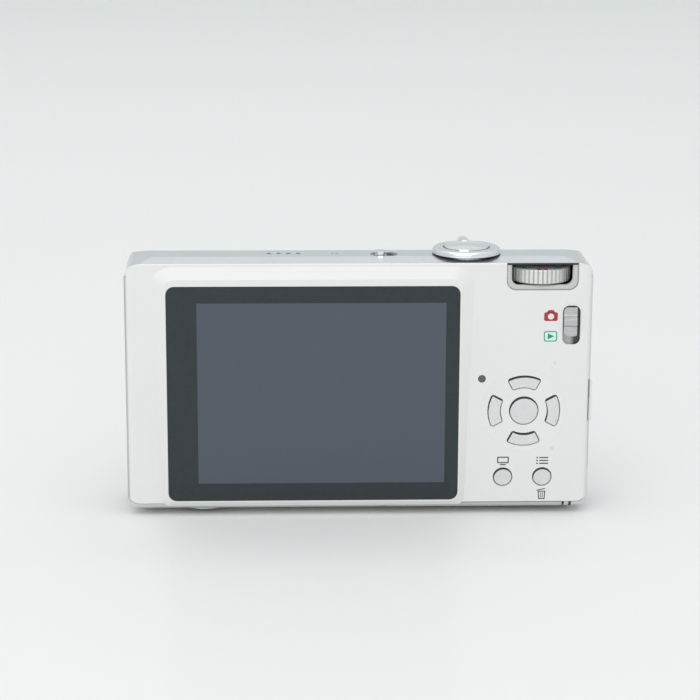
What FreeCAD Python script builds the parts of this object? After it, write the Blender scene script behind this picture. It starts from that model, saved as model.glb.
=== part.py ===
"""Compact digital camera, modelled as an assembly of its separate pieces.

Frame: millimetres, origin at the middle of the base, +X to the right when facing the
screen, +Y from the screen towards the lens, +Z up. The camera stands on its base at z = 0.

The aluminium front cover, the top cover and the rear cover make the case. Inside are a
sheet-metal chassis, the screen, a two-stage retractable zoom lens driven by a gear train,
the battery and card compartment, the boards, and the keys with their stems.
"""
import FreeCAD, Part

import math
import os

os.makedirs("parts", exist_ok=True)

Vector = FreeCAD.Vector

# ---------------------------------------------------------------- driving dimensions
# Case
BODY_W = 94.2            # side to side
BODY_H = 51.9            # base to the flat of the top cover
BASE_Z = 0.3             # underside of the front cover; the feet of the camera are at 0
SCREEN_FACE_Y = -11.0    # glass of the screen, the rearmost face
REAR_FACE_Y = -10.1      # flat rear face around the keys
REAR_SPLIT_Y = -9.75     # rear cover meets the front and top covers
FRONT_FACE_Y = 8.0       # flat front face
WALL = 0.8               # case wall
REAR_PLATE = 1.1         # rear cover, face to inside
TOP_BAND = 2.9           # height of the top cover on the sides and the front
SEAM = 0.1               # gap between pieces that stand still
MOVE_GAP = 0.15          # gap round a sliding or turning piece
KEY_GAP = 0.12           # gap round a key top
REAR_EDGE_R = 1.5
FRONT_EDGE_R = 5.0
BASE_REAR_R = 1.5
REAR_BASE_Z = 1.6        # lower edge of the rear cover
REAR_CORNER_R = 2.5      # its lower corners
BASE_FRONT_R = 2.6
BASE_CORNER_R = 3.2
TOP_FALL = 0.45          # fall of the top towards the rear edge
SIDE_FALL = 1.0          # fall of the top towards its ends
SIDE_LEAN = 0.45         # lean of the sides above the shoulders
TOP_FALL_LENGTH = 5.3
SHOULDER_DOWN = 3.6      # top of the case to where its sides start to lean in
TOP_BEVEL_Y = 2.0        # the top slopes down to the front from here
TOP_BEVEL_DROP = 2.0

# Screen
GLASS_SIDE = 8.45        # left side of the case to the glass
KEY_COLUMN = 26.92       # glass to the right side of the case
GLASS_BASE_Z = 2.42
GLASS_DOWN = 4.92        # top of the case to the glass
GLASS_LEFT = 6.1         # dark border of the glass, past the picture area
GLASS_RIGHT = 2.73
GLASS_TOP = 3.38
GLASS_BOTTOM = 3.68
GLASS_T = 0.7
GLASS_CORNER = 1.7
GLASS_GAP = 0.06
PANEL_T = 2.4
PANEL_EDGE = 1.6         # panel frame past the picture area
LEDGE_T = 0.6            # ledge that the glass is stuck to
FIELD_RIM = 0.28         # flat rim of the raised field round the glass
FIELD_RIM_TOP = 1.4
FIELD_SLOPE = 1.1        # run of the slope down to the rear face, at the base
FIELD_SLOPE_SIDE = 2.8   # at the sides, near the top
FIELD_SLOPE_TOP = 2.5    # and along the top
FIELD_FOOT_R = 1.5       # lower corners of the field's foot
FIELD_SHOULDER_R = 4.0   # and its upper corners

# Rear keys
PAD_IN = 13.55           # middle of the pad from the right side of the case
PAD_Z = 20.85
PAD_DISH_R = 8.6
PAD_DISH_DEPTH = 0.12
MENU_R = 2.9
CURSOR_IN_R = 4.8
CURSOR_OUT_R = 7.3
CURSOR_HALF_ANGLE = 27.8
CURSOR_CORNER = 0.5
DISPLAY_LEFT = 4.05      # small keys, to the left and right of the pad's middle
QUICK_RIGHT = 4.0
SMALL_KEY_Z = 6.87
SMALL_KEY_R = 1.9
KEY_SUNK = 0.2            # key tops below the rear face
KEY_FLANGE = 0.5
KEY_FLANGE_T = 0.45
KEY_TRAVEL = 0.3
STEM_R = 0.8
DOME_R = 1.3
DOME_TOP_R = 0.8
DOME_T = 0.22
KEY_BOARD_T = 0.5
LAMP_LEFT = 8.65         # status lamp, from the pad's middle
LAMP_UP = 6.75
LAMP_R = 0.75

# Mode slider on the rear
SLIDER_IN = 4.33         # middle of its slot from the right side of the case
SLIDER_DOWN = 13.2       # and from the top
SLIDER_SLOT_W = 3.54
SLIDER_SLOT_H = 8.0
SLIDER_SLOT_R = 1.25
SLIDER_H = 6.1
SLIDER_GAP = 0.2
SLIDER_STEM_H = 2.2
SLIDER_TRAVEL = 1.6
SLIDER_PROUD = 0.35
SLIDER_DEPTH = 0.7       # of the recess that the thumb piece runs in
SLIDER_BAND_H = 1.8      # raised band across the thumb piece
SLIDER_BAND_PROUD = 0.2

# Mode dial
DIAL_IN = 10.4           # from the right side of the case
DIAL_Y = -4.45
DIAL_R = 6.2
DIAL_DOWN = 4.7          # underside, from the top of the case
DIAL_T = 2.85
DIAL_GROOVES = 42
DIAL_GROOVE_R = 0.17
DIAL_ROOF = 0.3          # top cover over the dial
DIAL_SHAFT_R = 1.1
NOTCH_HALF = 6.13        # half width of the opening for the dial
NOTCH_GAP = 0.3          # under the dial
NOTCH_CORNER = 1.5
BEZEL_LEFT = 7.1
BEZEL_RIGHT = 7.25
BEZEL_DOWN = 0.95
BEZEL_T = 0.5
BEZEL_CORNER = 1.9

# Top controls
RING_IN = 25.1           # from the right side of the case
RING_Y = -2.05
RING_R = 6.95
RING_GAP = 0.45          # under the ring
RING_H = 0.95
RING_BORE_R = 4.75
RING_NECK_R = 5.5
BUTTON_R = 4.6
BUTTON_TOP = 1.95        # above the top cover
BUTTON_TRAVEL = 0.8
BUTTON_STEM_R = 1.4
LEVER_TAB_W = 2.8
LEVER_TAB_R = 1.3        # its rounded top corners
LEVER_TAB_H = 1.8
LEVER_TAB_OUT = 2.35
SPRING_WIRE_R = 0.15
SPRING_R = 2.3
SPRING_TURNS = 3
POWER_X = 5.2
POWER_Y = -2.7
POWER_SLOT_L = 5.45
POWER_SLOT_W = 3.5
POWER_SLOT_R = 1.4
POWER_NUB_W = 1.6
POWER_NUB_H = 0.75
POWER_START = 1.25       # slot end to the knob, switched off
POWER_TRAVEL = 2.3
SPEAKER_X = -15.12
SPEAKER_Y = -1.7
SPEAKER_HOLES = 4
SPEAKER_PITCH = 1.98
SPEAKER_HOLE_R = 0.5
SPEAKER_R = 4.2
MIC_X = -4.75
MIC_PITCH = 0.95
MIC_HOLE_R = 0.25

# Lens, with positions along its axis given as y
LENS_X = -11.0
LENS_DROP = 1.15         # below the middle of the height
LENS_RING_Y = 11.0       # front of the fixed ring around the lens
RING_OUT_R = 19.6
FIXED_R = 15.3           # bore of the fixed barrel
FIXED_WALL = 1.2
CAM_R = 14.35            # outside of the cam ring, the first barrel to come out
CAM_WALL = 0.75
GUIDE_WALL = 0.6
INNER_WALL = 0.9
BARREL_GAP = 0.1
STAGE_TRAVEL = 9.6       # of each of the two stages
CAM_TURN = 75.0          # degrees, over the whole travel
CAM_PIN_Y = -3.7
INNER_PIN_Y = -2.0
PIN_R = 0.7
PIN_GAP = 0.06
BARREL_FRONT_Y = 10.2    # front of the cam ring, stowed
CAP_FRONT_Y = 10.6       # front of the inner barrel, stowed
CAP_T = 0.9
LENS_SEAT_R = 7.4        # bore that holds the front lens
FRONT_LENS_Y = 6.1       # middle of the front lens, stowed
FRONT_LENS_EDGE = 1.0
FRONT_BALL_R = 16.0      # of its front face, and of its rear face
FRONT_BACK_BALL_R = 40.0
REAR_LENS_Y = 0.8
REAR_LENS_R = 4.2
REAR_LENS_EDGE = 1.4
REAR_BALL_R = 9.0
HOLDER_R = 11.6          # disc that holds the rear lens
HOLDER_T = 0.8
HOLDER_TUBE_R = 5.4
HOLDER_TUBE_HALF = 1.8
SENSOR_HALF_W = 4.9
SENSOR_HALF_H = 4.1
APERTURE_R = 5.0
BLADE_T = 0.25
BLADE_R = 5.5
BLADE_PIVOT = 9.0        # from the lens axis
BLADE_PIN_R = 0.5
BLADE_SWING = 40.0
BASE_T = 1.2
LENS_FOOT_R = 17.6       # lens base
GEAR_MODULE = 0.4
CAM_TEETH = 74
LONG_TEETH = 12
IDLER_TEETH = 18
MOTOR_TEETH = 10
TOOTH_SHARE = 0.41       # tooth thickness over pitch
TOOTH_SLOPE = 0.36       # narrowing of each flank per unit of height
GEAR_FACE = 1.4
GEAR_ANGLE = -45.0       # from the lens axis to the long gear, clockwise from up
MOTOR_R = 3.6
MOTOR_L = 8.5
GEAR_PIN_R = 0.5
TRAY_HALF = 4.6          # half height of the tray that carries the gears

# Battery and card compartment
DOOR_LEFT = 4.3          # past the battery
DOOR_Y0 = -5.2           # hinge and thick part of the door; its plate reaches the rear edge
DOOR_Y1 = 5.7
DOOR_T = 0.9
DOOR_TOP_Z = 1.55
HINGE_IN = 4.4           # from the right side of the case
HINGE_GAP = 0.95         # hinge axis to the door's plate
HINGE_ROOM = 0.5         # next to the plate's end, which swings past it
HINGE_Z = 1.05
HINGE_KNUCKLE_R = 0.55
HINGE_PIN_R = 0.28
BATTERY_LEFT = 2.9       # lens base to the battery
BATTERY_IN = 5.85        # battery to the right side of the case
BATTERY_T = 6.3
BATTERY_Z0 = 2.1
BATTERY_DOWN = 10.4      # top of the case to the battery
BATTERY_Y1 = 5.3
BOX_WALL = 0.6
CARD_W = 24.0
CARD_T = 2.1
CARD_L = 32.0
CARD_IN = 10.75          # card to the right side of the case
CARD_Z0 = 2.0
CARD_PUSH = 0.8
SOCKET_WALL = 0.25
RELEASE_IN = 3.0         # from the end of the door
RELEASE_TRAVEL = 1.6

# Boards and chassis
CHASSIS_T = 0.5
BOARD_T = 0.8
BOARD_LEFT = 3.7         # lens base to the main board
BOARD_IN = 2.35          # main board to the right side of the case
BOARD_Z0 = 3.6
BOARD_DOWN = 7.5         # top of the case to the main board
CHASSIS_Z0 = 3.4
CHASSIS_DOWN = 6.7
KEY_BOARD_LEFT = 2.42    # glass to the key board
KEY_BOARD_IN = 1.95
KEY_BOARD_Z0 = 3.8
KEY_BOARD_DOWN = 8.3
TOP_BOARD_DOWN = 6.0     # top of the case to the underside of the top board
TOP_BOARD_X0 = -12.0
TOP_BOARD_IN = 3.95
TOP_BOARD_Y0 = -7.4
TOP_BOARD_Y1 = 2.0
TOP_BOARD_T = 0.6

# Terminal cover on the right side
TERM_Z0 = 9.1
TERM_Z1 = 27.3
TERM_Y0 = -9.3
TERM_Y1 = -1.7
TERM_LIP_Z = 18.5
TERM_LIP_PROUD = 0.4
TERM_LIP_W = 0.85
TERM_SCOOP_H = 5.2       # finger scoop beside the lip
JACK_H = 6.6
JACK_L = 7.3

# Tripod bush, strap eyelet and fasteners
TRIPOD_SIDE = 15.7      # from the left side of the case
TRIPOD_Y = -3.5
TRIPOD_BORE_R = 3.175
TRIPOD_R = 4.2
TRIPOD_FLANGE_R = 5.4
TRIPOD_H = 5.5
STRAP_Y = 2.0
STRAP_DOWN = 15.9        # from the top of the case
STRAP_W = 4.2
STRAP_H = 7.0
STRAP_DEPTH = 2.6
STRAP_BAR_R = 0.75
SCREW_HEAD_R = 1.15
SCREW_HEAD_T = 0.4
SCREW_SHANK_R = 0.6
SCREW_L = 2.4
SCREW_SIDE = 4.85        # first base screw, from the left side of the case
SCREW_LOW_Z = 6.2
SCREW_DOWN = 8.3         # upper side screws, from the top of the case

# Flash and focus lamp
FLASH_X = 15.6
FLASH_DOWN = 6.3
FLASH_W = 12.0
FLASH_H = 4.4
FLASH_DEPTH = 4.8
FLASH_TUBE_R = 0.6
LAMP_LENS_X = 26.0
LAMP_LENS_R = 1.6
CAPACITOR_R = 4.0
CAPACITOR_SIDE = 5.95    # from the left side of the case
CAPACITOR_GAP = 0.28     # under the gear tray
CAPACITOR_Z0 = 7.5

# ---------------------------------------------------------------- derived places
HALF_W = BODY_W / 2
INNER_REAR_Y = REAR_FACE_Y + REAR_PLATE
SHELL_Y0 = REAR_SPLIT_Y + SEAM
FRONT_INNER_Y = FRONT_FACE_Y - WALL
TOP_INNER_Z = BODY_H - WALL
TOP_SPLIT_Z = BODY_H - TOP_BAND
SHOULDER_Z = BODY_H - SHOULDER_DOWN
GLASS = (GLASS_SIDE - HALF_W, HALF_W - KEY_COLUMN, GLASS_BASE_Z, BODY_H - GLASS_DOWN)
PICTURE = (GLASS[0] + GLASS_LEFT, GLASS[1] - GLASS_RIGHT,
           GLASS[2] + GLASS_BOTTOM, GLASS[3] - GLASS_TOP)
PAD_X = HALF_W - PAD_IN
DISPLAY_X = PAD_X - DISPLAY_LEFT
QUICK_X = PAD_X + QUICK_RIGHT
LAMP_X = PAD_X - LAMP_LEFT
LAMP_Z = PAD_Z + LAMP_UP
SLIDER_X = HALF_W - SLIDER_IN
SLIDER_Z = BODY_H - SLIDER_DOWN
DIAL_X = HALF_W - DIAL_IN
DIAL_Z = BODY_H - DIAL_DOWN
NOTCH_FLOOR_Z = DIAL_Z - NOTCH_GAP
ROOF_UNDER_Z = BODY_H - TOP_FALL - DIAL_ROOF
RING_X = HALF_W - RING_IN
LENS_Z = BODY_H / 2 - LENS_DROP
BATTERY_X0 = LENS_X + LENS_FOOT_R + BATTERY_LEFT
BATTERY_X1 = HALF_W - BATTERY_IN
BATTERY_TOP_Z = BODY_H - BATTERY_DOWN
CARD_X0 = HALF_W - CARD_IN - CARD_W
HINGE_X = HALF_W - HINGE_IN
DOOR_X0 = BATTERY_X0 - DOOR_LEFT
DOOR_X1 = HINGE_X - HINGE_GAP
RELEASE_X = DOOR_X0 + RELEASE_IN
BOARD_X0 = LENS_X + LENS_FOOT_R + BOARD_LEFT
BOARD_X1 = HALF_W - BOARD_IN
BOARD_Z1 = BODY_H - BOARD_DOWN
TOP_BOARD_Z = BODY_H - TOP_BOARD_DOWN
TRIPOD_X = TRIPOD_SIDE - HALF_W
STRAP_Z = BODY_H - STRAP_DOWN
FLASH_Z = BODY_H - FLASH_DOWN
CAPACITOR_X = CAPACITOR_SIDE - HALF_W
GLASS_BACK_Y = SCREEN_FACE_Y + GLASS_T
PANEL_Y0 = GLASS_BACK_Y + SEAM / 2 + LEDGE_T + SEAM / 2
PANEL_Y1 = PANEL_Y0 + PANEL_T
CHASSIS_Y0 = PANEL_Y1 + SEAM
CHASSIS_Y1 = CHASSIS_Y0 + CHASSIS_T
LENS_BASE_Y0 = CHASSIS_Y1 + SEAM / 2
LENS_BASE_Y1 = LENS_BASE_Y0 + BASE_T
KEY_TOP_Y = REAR_FACE_Y + KEY_SUNK
KEY_FLANGE_Y0 = INNER_REAR_Y + SEAM / 2
KEY_FLANGE_Y1 = KEY_FLANGE_Y0 + KEY_FLANGE_T
STEM_TIP_Y = KEY_FLANGE_Y1 + KEY_TRAVEL
DOME_Y = STEM_TIP_Y + KEY_TRAVEL + SEAM / 2
KEY_BOARD_Y0 = DOME_Y + DOME_T
KEY_BOARD_Y1 = KEY_BOARD_Y0 + KEY_BOARD_T
BATTERY_Y0 = BATTERY_Y1 - BATTERY_T
BOX_Y0 = BATTERY_Y0 - SEAM - BOX_WALL / 2
BOX_Y1 = BATTERY_Y1 + SEAM + BOX_WALL
SOCKET_Y1 = BOX_Y0 - SEAM
CARD_Y1 = SOCKET_Y1 - SOCKET_WALL - SEAM
CARD_Y0 = CARD_Y1 - CARD_T
SOCKET_Y0 = CARD_Y0 - SEAM - SOCKET_WALL
BOARD_Y1 = SOCKET_Y0
BOARD_Y0 = BOARD_Y1 - BOARD_T
TOP_BOARD_TOP_Z = TOP_BOARD_Z + TOP_BOARD_T
FIXED_OUT_R = FIXED_R + FIXED_WALL
CAM_IN_R = CAM_R - CAM_WALL
GUIDE_R = CAM_IN_R - BARREL_GAP
GUIDE_IN_R = GUIDE_R - GUIDE_WALL
INNER_R = GUIDE_IN_R - BARREL_GAP
INNER_IN_R = INNER_R - INNER_WALL
CAM_PITCH_R = CAM_TEETH * GEAR_MODULE / 2
GEAR_Y0 = CAM_PIN_Y - GEAR_FACE / 2
GEAR_Y1 = CAM_PIN_Y + GEAR_FACE / 2
DOOR_MIDDLE_Y = (DOOR_Y0 + DOOR_Y1) / 2

# ---------------------------------------------------------------- helpers
PLACES = {"xz": lambda u, v, level: Vector(u, level, v),
          "yz": lambda u, v, level: Vector(level, u, v),
          "xy": lambda u, v, level: Vector(u, v, level)}
NORMALS = {"xz": Vector(0, 1, 0), "yz": Vector(1, 0, 0), "xy": Vector(0, 0, 1)}


def box(x0, x1, y0, y1, z0, z1):
    return Part.makeBox(x1 - x0, y1 - y0, z1 - z0, Vector(x0, y0, z0))


def rod_x(y, z, radius, x0, x1):
    return Part.makeCylinder(radius, x1 - x0, Vector(x0, y, z), Vector(1, 0, 0))


def rod_y(x, z, radius, y0, y1):
    return Part.makeCylinder(radius, y1 - y0, Vector(x, y0, z), Vector(0, 1, 0))


def rod_z(x, y, radius, z0, z1):
    return Part.makeCylinder(radius, z1 - z0, Vector(x, y, z0))


def outline(corners, plane, level):
    """Closed wire through (u, v, radius) corners, each corner rounded by its radius."""
    place = PLACES[plane]
    points = [Vector(u, v, 0) for u, v, radius in corners]
    turns = []
    for index, (u, v, radius) in enumerate(corners):
        here = points[index]
        back = (points[index - 1] - here).normalize()
        ahead = (points[(index + 1) % len(points)] - here).normalize()
        half = back.getAngle(ahead) / 2
        reach = radius / math.tan(half)
        bulge = (back + ahead).normalize() * (radius / math.sin(half) - radius)
        turns.append((here + back * reach, here + bulge, here + ahead * reach, radius))
    edges = []
    for index, (start, middle, end, radius) in enumerate(turns):
        if radius > 0:
            arc = Part.Arc(*(place(p.x, p.y, level) for p in (start, middle, end)))
            edges.append(arc.toShape())
        following = turns[(index + 1) % len(turns)][0]
        edges.append(Part.makeLine(place(end.x, end.y, level),
                                   place(following.x, following.y, level)))
    return Part.Wire(edges)


def slab(corners, plane, low, high, inset=0.0):
    """The outline, moved in by inset, and extruded along its plane's normal."""
    face = Part.Face(outline(corners, plane, low))
    if inset:
        face = face.makeOffset2D(-inset)
    return face.extrude(NORMALS[plane] * (high - low))


def rectangle(u0, u1, v0, v1, radius):
    return [(u0, v0, radius), (u1, v0, radius), (u1, v1, radius), (u0, v1, radius)]


def grown(area, gap):
    return (area[0] - gap, area[1] + gap, area[2] - gap, area[3] + gap)


def fused(shapes):
    return shapes[0].multiFuse(shapes[1:]).removeSplitter()


def case_solid(inset):
    """The outside of the case, moved in by inset: three outlines extruded and crossed."""
    front_view = slab(CASE_FRONT_VIEW, "xz", REAR_FACE_Y, FRONT_FACE_Y, inset)
    side_view = slab(CASE_SIDE_VIEW, "yz", -HALF_W, HALF_W, inset)
    plan = slab(CASE_PLAN, "xy", 0, BODY_H, inset)
    return front_view.common(side_view).common(plan)


def pad_point(radius, angle, y):
    return Vector(PAD_X + radius * math.cos(math.radians(angle)), y,
                  PAD_Z + radius * math.sin(math.radians(angle)))


def cursor_slab(angle, grow, y0, y1):
    """A quarter of the cursor ring, with rounded corners and moved out by grow."""
    inner_r = CURSOR_IN_R - grow
    outer_r = CURSOR_OUT_R + grow
    inner_half = CURSOR_HALF_ANGLE + math.degrees(math.asin(grow / inner_r))
    outer_half = CURSOR_HALF_ANGLE + math.degrees(math.asin(grow / outer_r))
    outer = [pad_point(outer_r, angle + turn, y0) for turn in (-outer_half, 0, outer_half)]
    inner = [pad_point(inner_r, angle + turn, y0) for turn in (inner_half, 0, -inner_half)]
    wire = Part.Wire([Part.Arc(*outer).toShape(), Part.makeLine(outer[2], inner[0]),
                      Part.Arc(*inner).toShape(), Part.makeLine(inner[2], outer[0])])
    solid = Part.Face(wire).extrude(Vector(0, y1 - y0, 0))
    uprights = [edge for edge in solid.Edges
                if abs(edge.Vertexes[0].Y - edge.Vertexes[-1].Y) > (y1 - y0) / 2]
    return solid.makeFillet(CURSOR_CORNER + grow, uprights)


def turned_to(x, z, shape):
    """Turns a shape built round Z to an axis along Y: its X becomes up, its Y becomes +X."""
    turned = shape.copy()
    turned.Placement = FreeCAD.Placement(
        Vector(x, 0, z), FreeCAD.Rotation(Vector(1, 1, 1), 240)).multiply(shape.Placement)
    return turned


def on_lens_axis(shape):
    return turned_to(LENS_X, LENS_Z, shape)


def ring(inner, outer, low, high):
    """A ring round Z."""
    solid = Part.makeCylinder(outer, high - low, Vector(0, 0, low))
    return solid.cut(Part.makeCylinder(inner, high - low + 2, Vector(0, 0, low - 1)))


def radial(radius, inner, outer, height, angle):
    """A rod that points away from Z, at an angle that is 0 along X."""
    side = math.radians(angle)
    way = Vector(math.cos(side), math.sin(side), 0)
    return Part.makeCylinder(radius, outer - inner, way * inner + Vector(0, 0, height), way)


def straight_slot(width, inner, outer, low, high, angle):
    """A block that points away from Z, for a key or its slot."""
    block = Part.makeBox(outer - inner, width, high - low, Vector(inner, -width / 2, low))
    block.rotate(Vector(0, 0, 0), Vector(0, 0, 1), angle)
    return block


def helical_slot(inner, outer, low, angle, left_handed):
    """The room that a pin needs as it climbs one stage while the cam ring turns."""
    radius = PIN_R + PIN_GAP
    turn = -CAM_TURN if left_handed else CAM_TURN
    climb = math.atan2(STAGE_TRAVEL, math.radians(CAM_TURN) * (inner + outer) / 2)
    half = radius / math.cos(climb)
    path = Part.makeHelix(STAGE_TRAVEL * 360 / CAM_TURN, STAGE_TRAVEL, inner, 0, left_handed)
    profile = Part.makePolygon([Vector(inner, 0, -half), Vector(outer, 0, -half),
                                Vector(outer, 0, half), Vector(inner, 0, half),
                                Vector(inner, 0, -half)])
    swept = Part.Wire(path.Edges).makePipeShell([profile], True, True)
    slot = swept.fuse([radial(radius, inner, outer, 0, 0),
                       radial(radius, inner, outer, STAGE_TRAVEL, turn)])
    slot.rotate(Vector(0, 0, 0), Vector(0, 0, 1), angle)
    slot.translate(Vector(0, 0, low))
    return slot


def gear(teeth, low, high, bore, first_angle):
    """A spur gear round Z with one tooth at first_angle."""
    pitch_r = teeth * GEAR_MODULE / 2
    root_r = pitch_r - 1.2 * GEAR_MODULE
    tip_r = pitch_r + 0.85 * GEAR_MODULE
    half_pitch = math.pi * GEAR_MODULE * TOOTH_SHARE / 2
    points = []
    for tooth in range(teeth):
        middle = math.radians(first_angle + tooth * 360 / teeth)
        for radius, side in ((root_r, -1), (tip_r, -1), (tip_r, 1), (root_r, 1)):
            half = (half_pitch - (radius - pitch_r) * TOOTH_SLOPE) / radius
            angle = middle + side * half
            points.append(Vector(radius * math.cos(angle), radius * math.sin(angle), low))
    solid = Part.Face(Part.makePolygon(points + points[:1])).extrude(Vector(0, 0, high - low))
    return solid.cut(Part.makeCylinder(bore, high - low + 2, Vector(0, 0, low - 1)))


CASE_FRONT_VIEW = [
    (-HALF_W, BASE_Z, BASE_CORNER_R), (HALF_W, BASE_Z, BASE_CORNER_R),
    (HALF_W, SHOULDER_Z, 5.0), (HALF_W - SIDE_LEAN, BODY_H - SIDE_FALL, 2.0),
    (HALF_W - TOP_FALL_LENGTH, BODY_H, 12.0), (TOP_FALL_LENGTH - HALF_W, BODY_H, 12.0),
    (SIDE_LEAN - HALF_W, BODY_H - SIDE_FALL, 2.0), (-HALF_W, SHOULDER_Z, 5.0)]
CASE_SIDE_VIEW = [
    (REAR_FACE_Y, BASE_Z, BASE_REAR_R), (FRONT_FACE_Y, BASE_Z, BASE_FRONT_R),
    (FRONT_FACE_Y, BODY_H - TOP_BEVEL_DROP, 2.5), (TOP_BEVEL_Y, BODY_H, 6.0),
    (REAR_FACE_Y + TOP_FALL_LENGTH, BODY_H, 8.0), (REAR_FACE_Y, BODY_H - TOP_FALL, 0.3)]
CASE_PLAN = [
    (-HALF_W, REAR_FACE_Y, REAR_EDGE_R), (HALF_W, REAR_FACE_Y, REAR_EDGE_R),
    (HALF_W, FRONT_FACE_Y, FRONT_EDGE_R), (-HALF_W, FRONT_FACE_Y, FRONT_EDGE_R)]

# ---------------------------------------------------------------- case
outside = case_solid(0)
inside = case_solid(WALL)
walls = outside.cut(inside)
rear_opening = (REAR_EDGE_R - HALF_W, HALF_W - REAR_EDGE_R, BASE_Z + 2.1,
                TOP_INNER_Z - TOP_FALL - 0.3)
field_flat = (GLASS[0] - FIELD_RIM, GLASS[1] + FIELD_RIM,
              GLASS[2] - FIELD_RIM, GLASS[3] + FIELD_RIM_TOP)
foot_base_z = field_flat[2] - FIELD_SLOPE
foot_top_z = field_flat[3] + FIELD_SLOPE_TOP
FIELD_FOOT = [
    (field_flat[0] - FIELD_SLOPE, foot_base_z, FIELD_FOOT_R),
    (field_flat[1] + FIELD_SLOPE, foot_base_z, FIELD_FOOT_R),
    (field_flat[1] + FIELD_SLOPE_SIDE, foot_top_z, FIELD_SHOULDER_R),
    (field_flat[0] - FIELD_SLOPE_SIDE, foot_top_z, FIELD_SHOULDER_R)]
REAR_OUTLINE = [
    (-HALF_W, REAR_BASE_Z, REAR_CORNER_R), (HALF_W, REAR_BASE_Z, REAR_CORNER_R),
    (HALF_W, BODY_H, 0), (-HALF_W, BODY_H, 0)]
# the front and top covers leave room for the rear cover and the foot of its raised field
rear_space = slab(REAR_OUTLINE, "xz", REAR_FACE_Y - 1, SHELL_Y0, -SEAM)
rear_space = rear_space.fuse(slab(FIELD_FOOT, "xz", REAR_FACE_Y - 1, SHELL_Y0, -SEAM))
body_walls = walls.cut(rear_space).cut(
    slab(rectangle(*rear_opening, 2.0), "xz", REAR_FACE_Y, REAR_FACE_Y + REAR_EDGE_R))
top_space = box(-HALF_W, HALF_W, REAR_FACE_Y, FRONT_FACE_Y, TOP_SPLIT_Z, BODY_H)
base_space = box(-HALF_W, HALF_W, REAR_FACE_Y, FRONT_FACE_Y, 0, TOP_SPLIT_Z - SEAM)

# Lens ring seat, flash and focus lamp openings in the front
LENS_HOLE_R = FIXED_OUT_R + SEAM
flash_area = (FLASH_X - FLASH_W / 2, FLASH_X + FLASH_W / 2,
              FLASH_Z - FLASH_H / 2, FLASH_Z + FLASH_H / 2)
flash_hole = slab(rectangle(*flash_area, 0.8), "xz", FRONT_INNER_Y - 1, FRONT_FACE_Y + 1,
                  -SEAM / 2)
lamp_hole = rod_y(LAMP_LENS_X, FLASH_Z, LAMP_LENS_R + SEAM / 2, FRONT_INNER_Y - 1,
                  FRONT_FACE_Y + 1)
lens_hole = rod_y(LENS_X, LENS_Z, LENS_HOLE_R, FRONT_INNER_Y - 1, FRONT_FACE_Y + 1)

# Battery door opening, with room for the hinge at its end
door_hole = box(DOOR_X0 - MOVE_GAP, HINGE_X + HINGE_KNUCKLE_R + MOVE_GAP,
                DOOR_Y0 - MOVE_GAP, DOOR_Y1 + MOVE_GAP, -1, BASE_Z + WALL + 1)
door_hole = door_hole.fuse(box(DOOR_X0 - MOVE_GAP, DOOR_X1 + HINGE_ROOM, REAR_FACE_Y - 1,
                               DOOR_Y0, -1, REAR_BASE_Z))
tripod_hole = rod_z(TRIPOD_X, TRIPOD_Y, TRIPOD_FLANGE_R + SEAM / 2, -1, BASE_Z + WALL + 1)

# Strap recess in the right side
strap_hole = box(HALF_W - WALL - 1, HALF_W + 1, STRAP_Y - STRAP_W / 2,
                 STRAP_Y + STRAP_W / 2, STRAP_Z - STRAP_H / 2, STRAP_Z + STRAP_H / 2)

# Terminal cover, cut out of the right wall
term_space = box(HALF_W - WALL - 1, HALF_W, TERM_Y0, TERM_Y1, TERM_Z0, TERM_Z1)
term_hole = box(HALF_W - WALL - 1, HALF_W + 1, TERM_Y0 - MOVE_GAP, TERM_Y1 + MOVE_GAP,
                TERM_Z0 - MOVE_GAP, TERM_Z1 + MOVE_GAP)
term_scoop = box(HALF_W - 0.5, HALF_W + 1, SHELL_Y0 - 1, TERM_Y0 + 0.01,
                 TERM_LIP_Z, TERM_LIP_Z + TERM_SCOOP_H)

# Screws: two in each side wall and three in the base
SIDE_SCREWS = [(side, -2.0, z) for side in (-1, 1) for z in (SCREW_LOW_Z, BODY_H - SCREW_DOWN)]
BASE_SCREWS = [(SCREW_SIDE - HALF_W, 2.0), (-18.5, 3.0), (0.5, 3.0)]


def screw(x, y, z, way):
    """A screw whose head lies in the case wall; way points into the camera."""
    start = Vector(x, y, z) + way * 0.1
    head = Part.makeCylinder(SCREW_HEAD_R, SCREW_HEAD_T, start, way)
    shank = Part.makeCylinder(SCREW_SHANK_R, SCREW_L, start, way)
    slot = Part.makeBox(1.5, 0.32, 0.2, Vector(-0.75, -0.16, 0))
    cross = slot.fuse(slot.rotated(Vector(0, 0, 0), Vector(0, 0, 1), 90))
    cross.Placement = FreeCAD.Placement(start, FreeCAD.Rotation(Vector(0, 0, 1), way))
    return head.fuse(shank).cut(cross)


def screw_hole(x, y, z, way):
    start = Vector(x, y, z) - way
    head = Part.makeCylinder(SCREW_HEAD_R + SEAM / 2, 1.1 + SCREW_HEAD_T + 0.01, start, way)
    return head.fuse(Part.makeCylinder(SCREW_SHANK_R + 0.02, SCREW_L + 2, start, way))


screw_places = [(side * HALF_W, y, z, Vector(-side, 0, 0)) for side, y, z in SIDE_SCREWS]
screw_places += [(x, y, BASE_Z, Vector(0, 0, 1)) for x, y in BASE_SCREWS]
case_screws = Part.makeCompound([screw(*place) for place in screw_places])
screw_room = Part.makeCompound([screw_hole(*place) for place in screw_places])

front_cover = body_walls.common(base_space)
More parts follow.
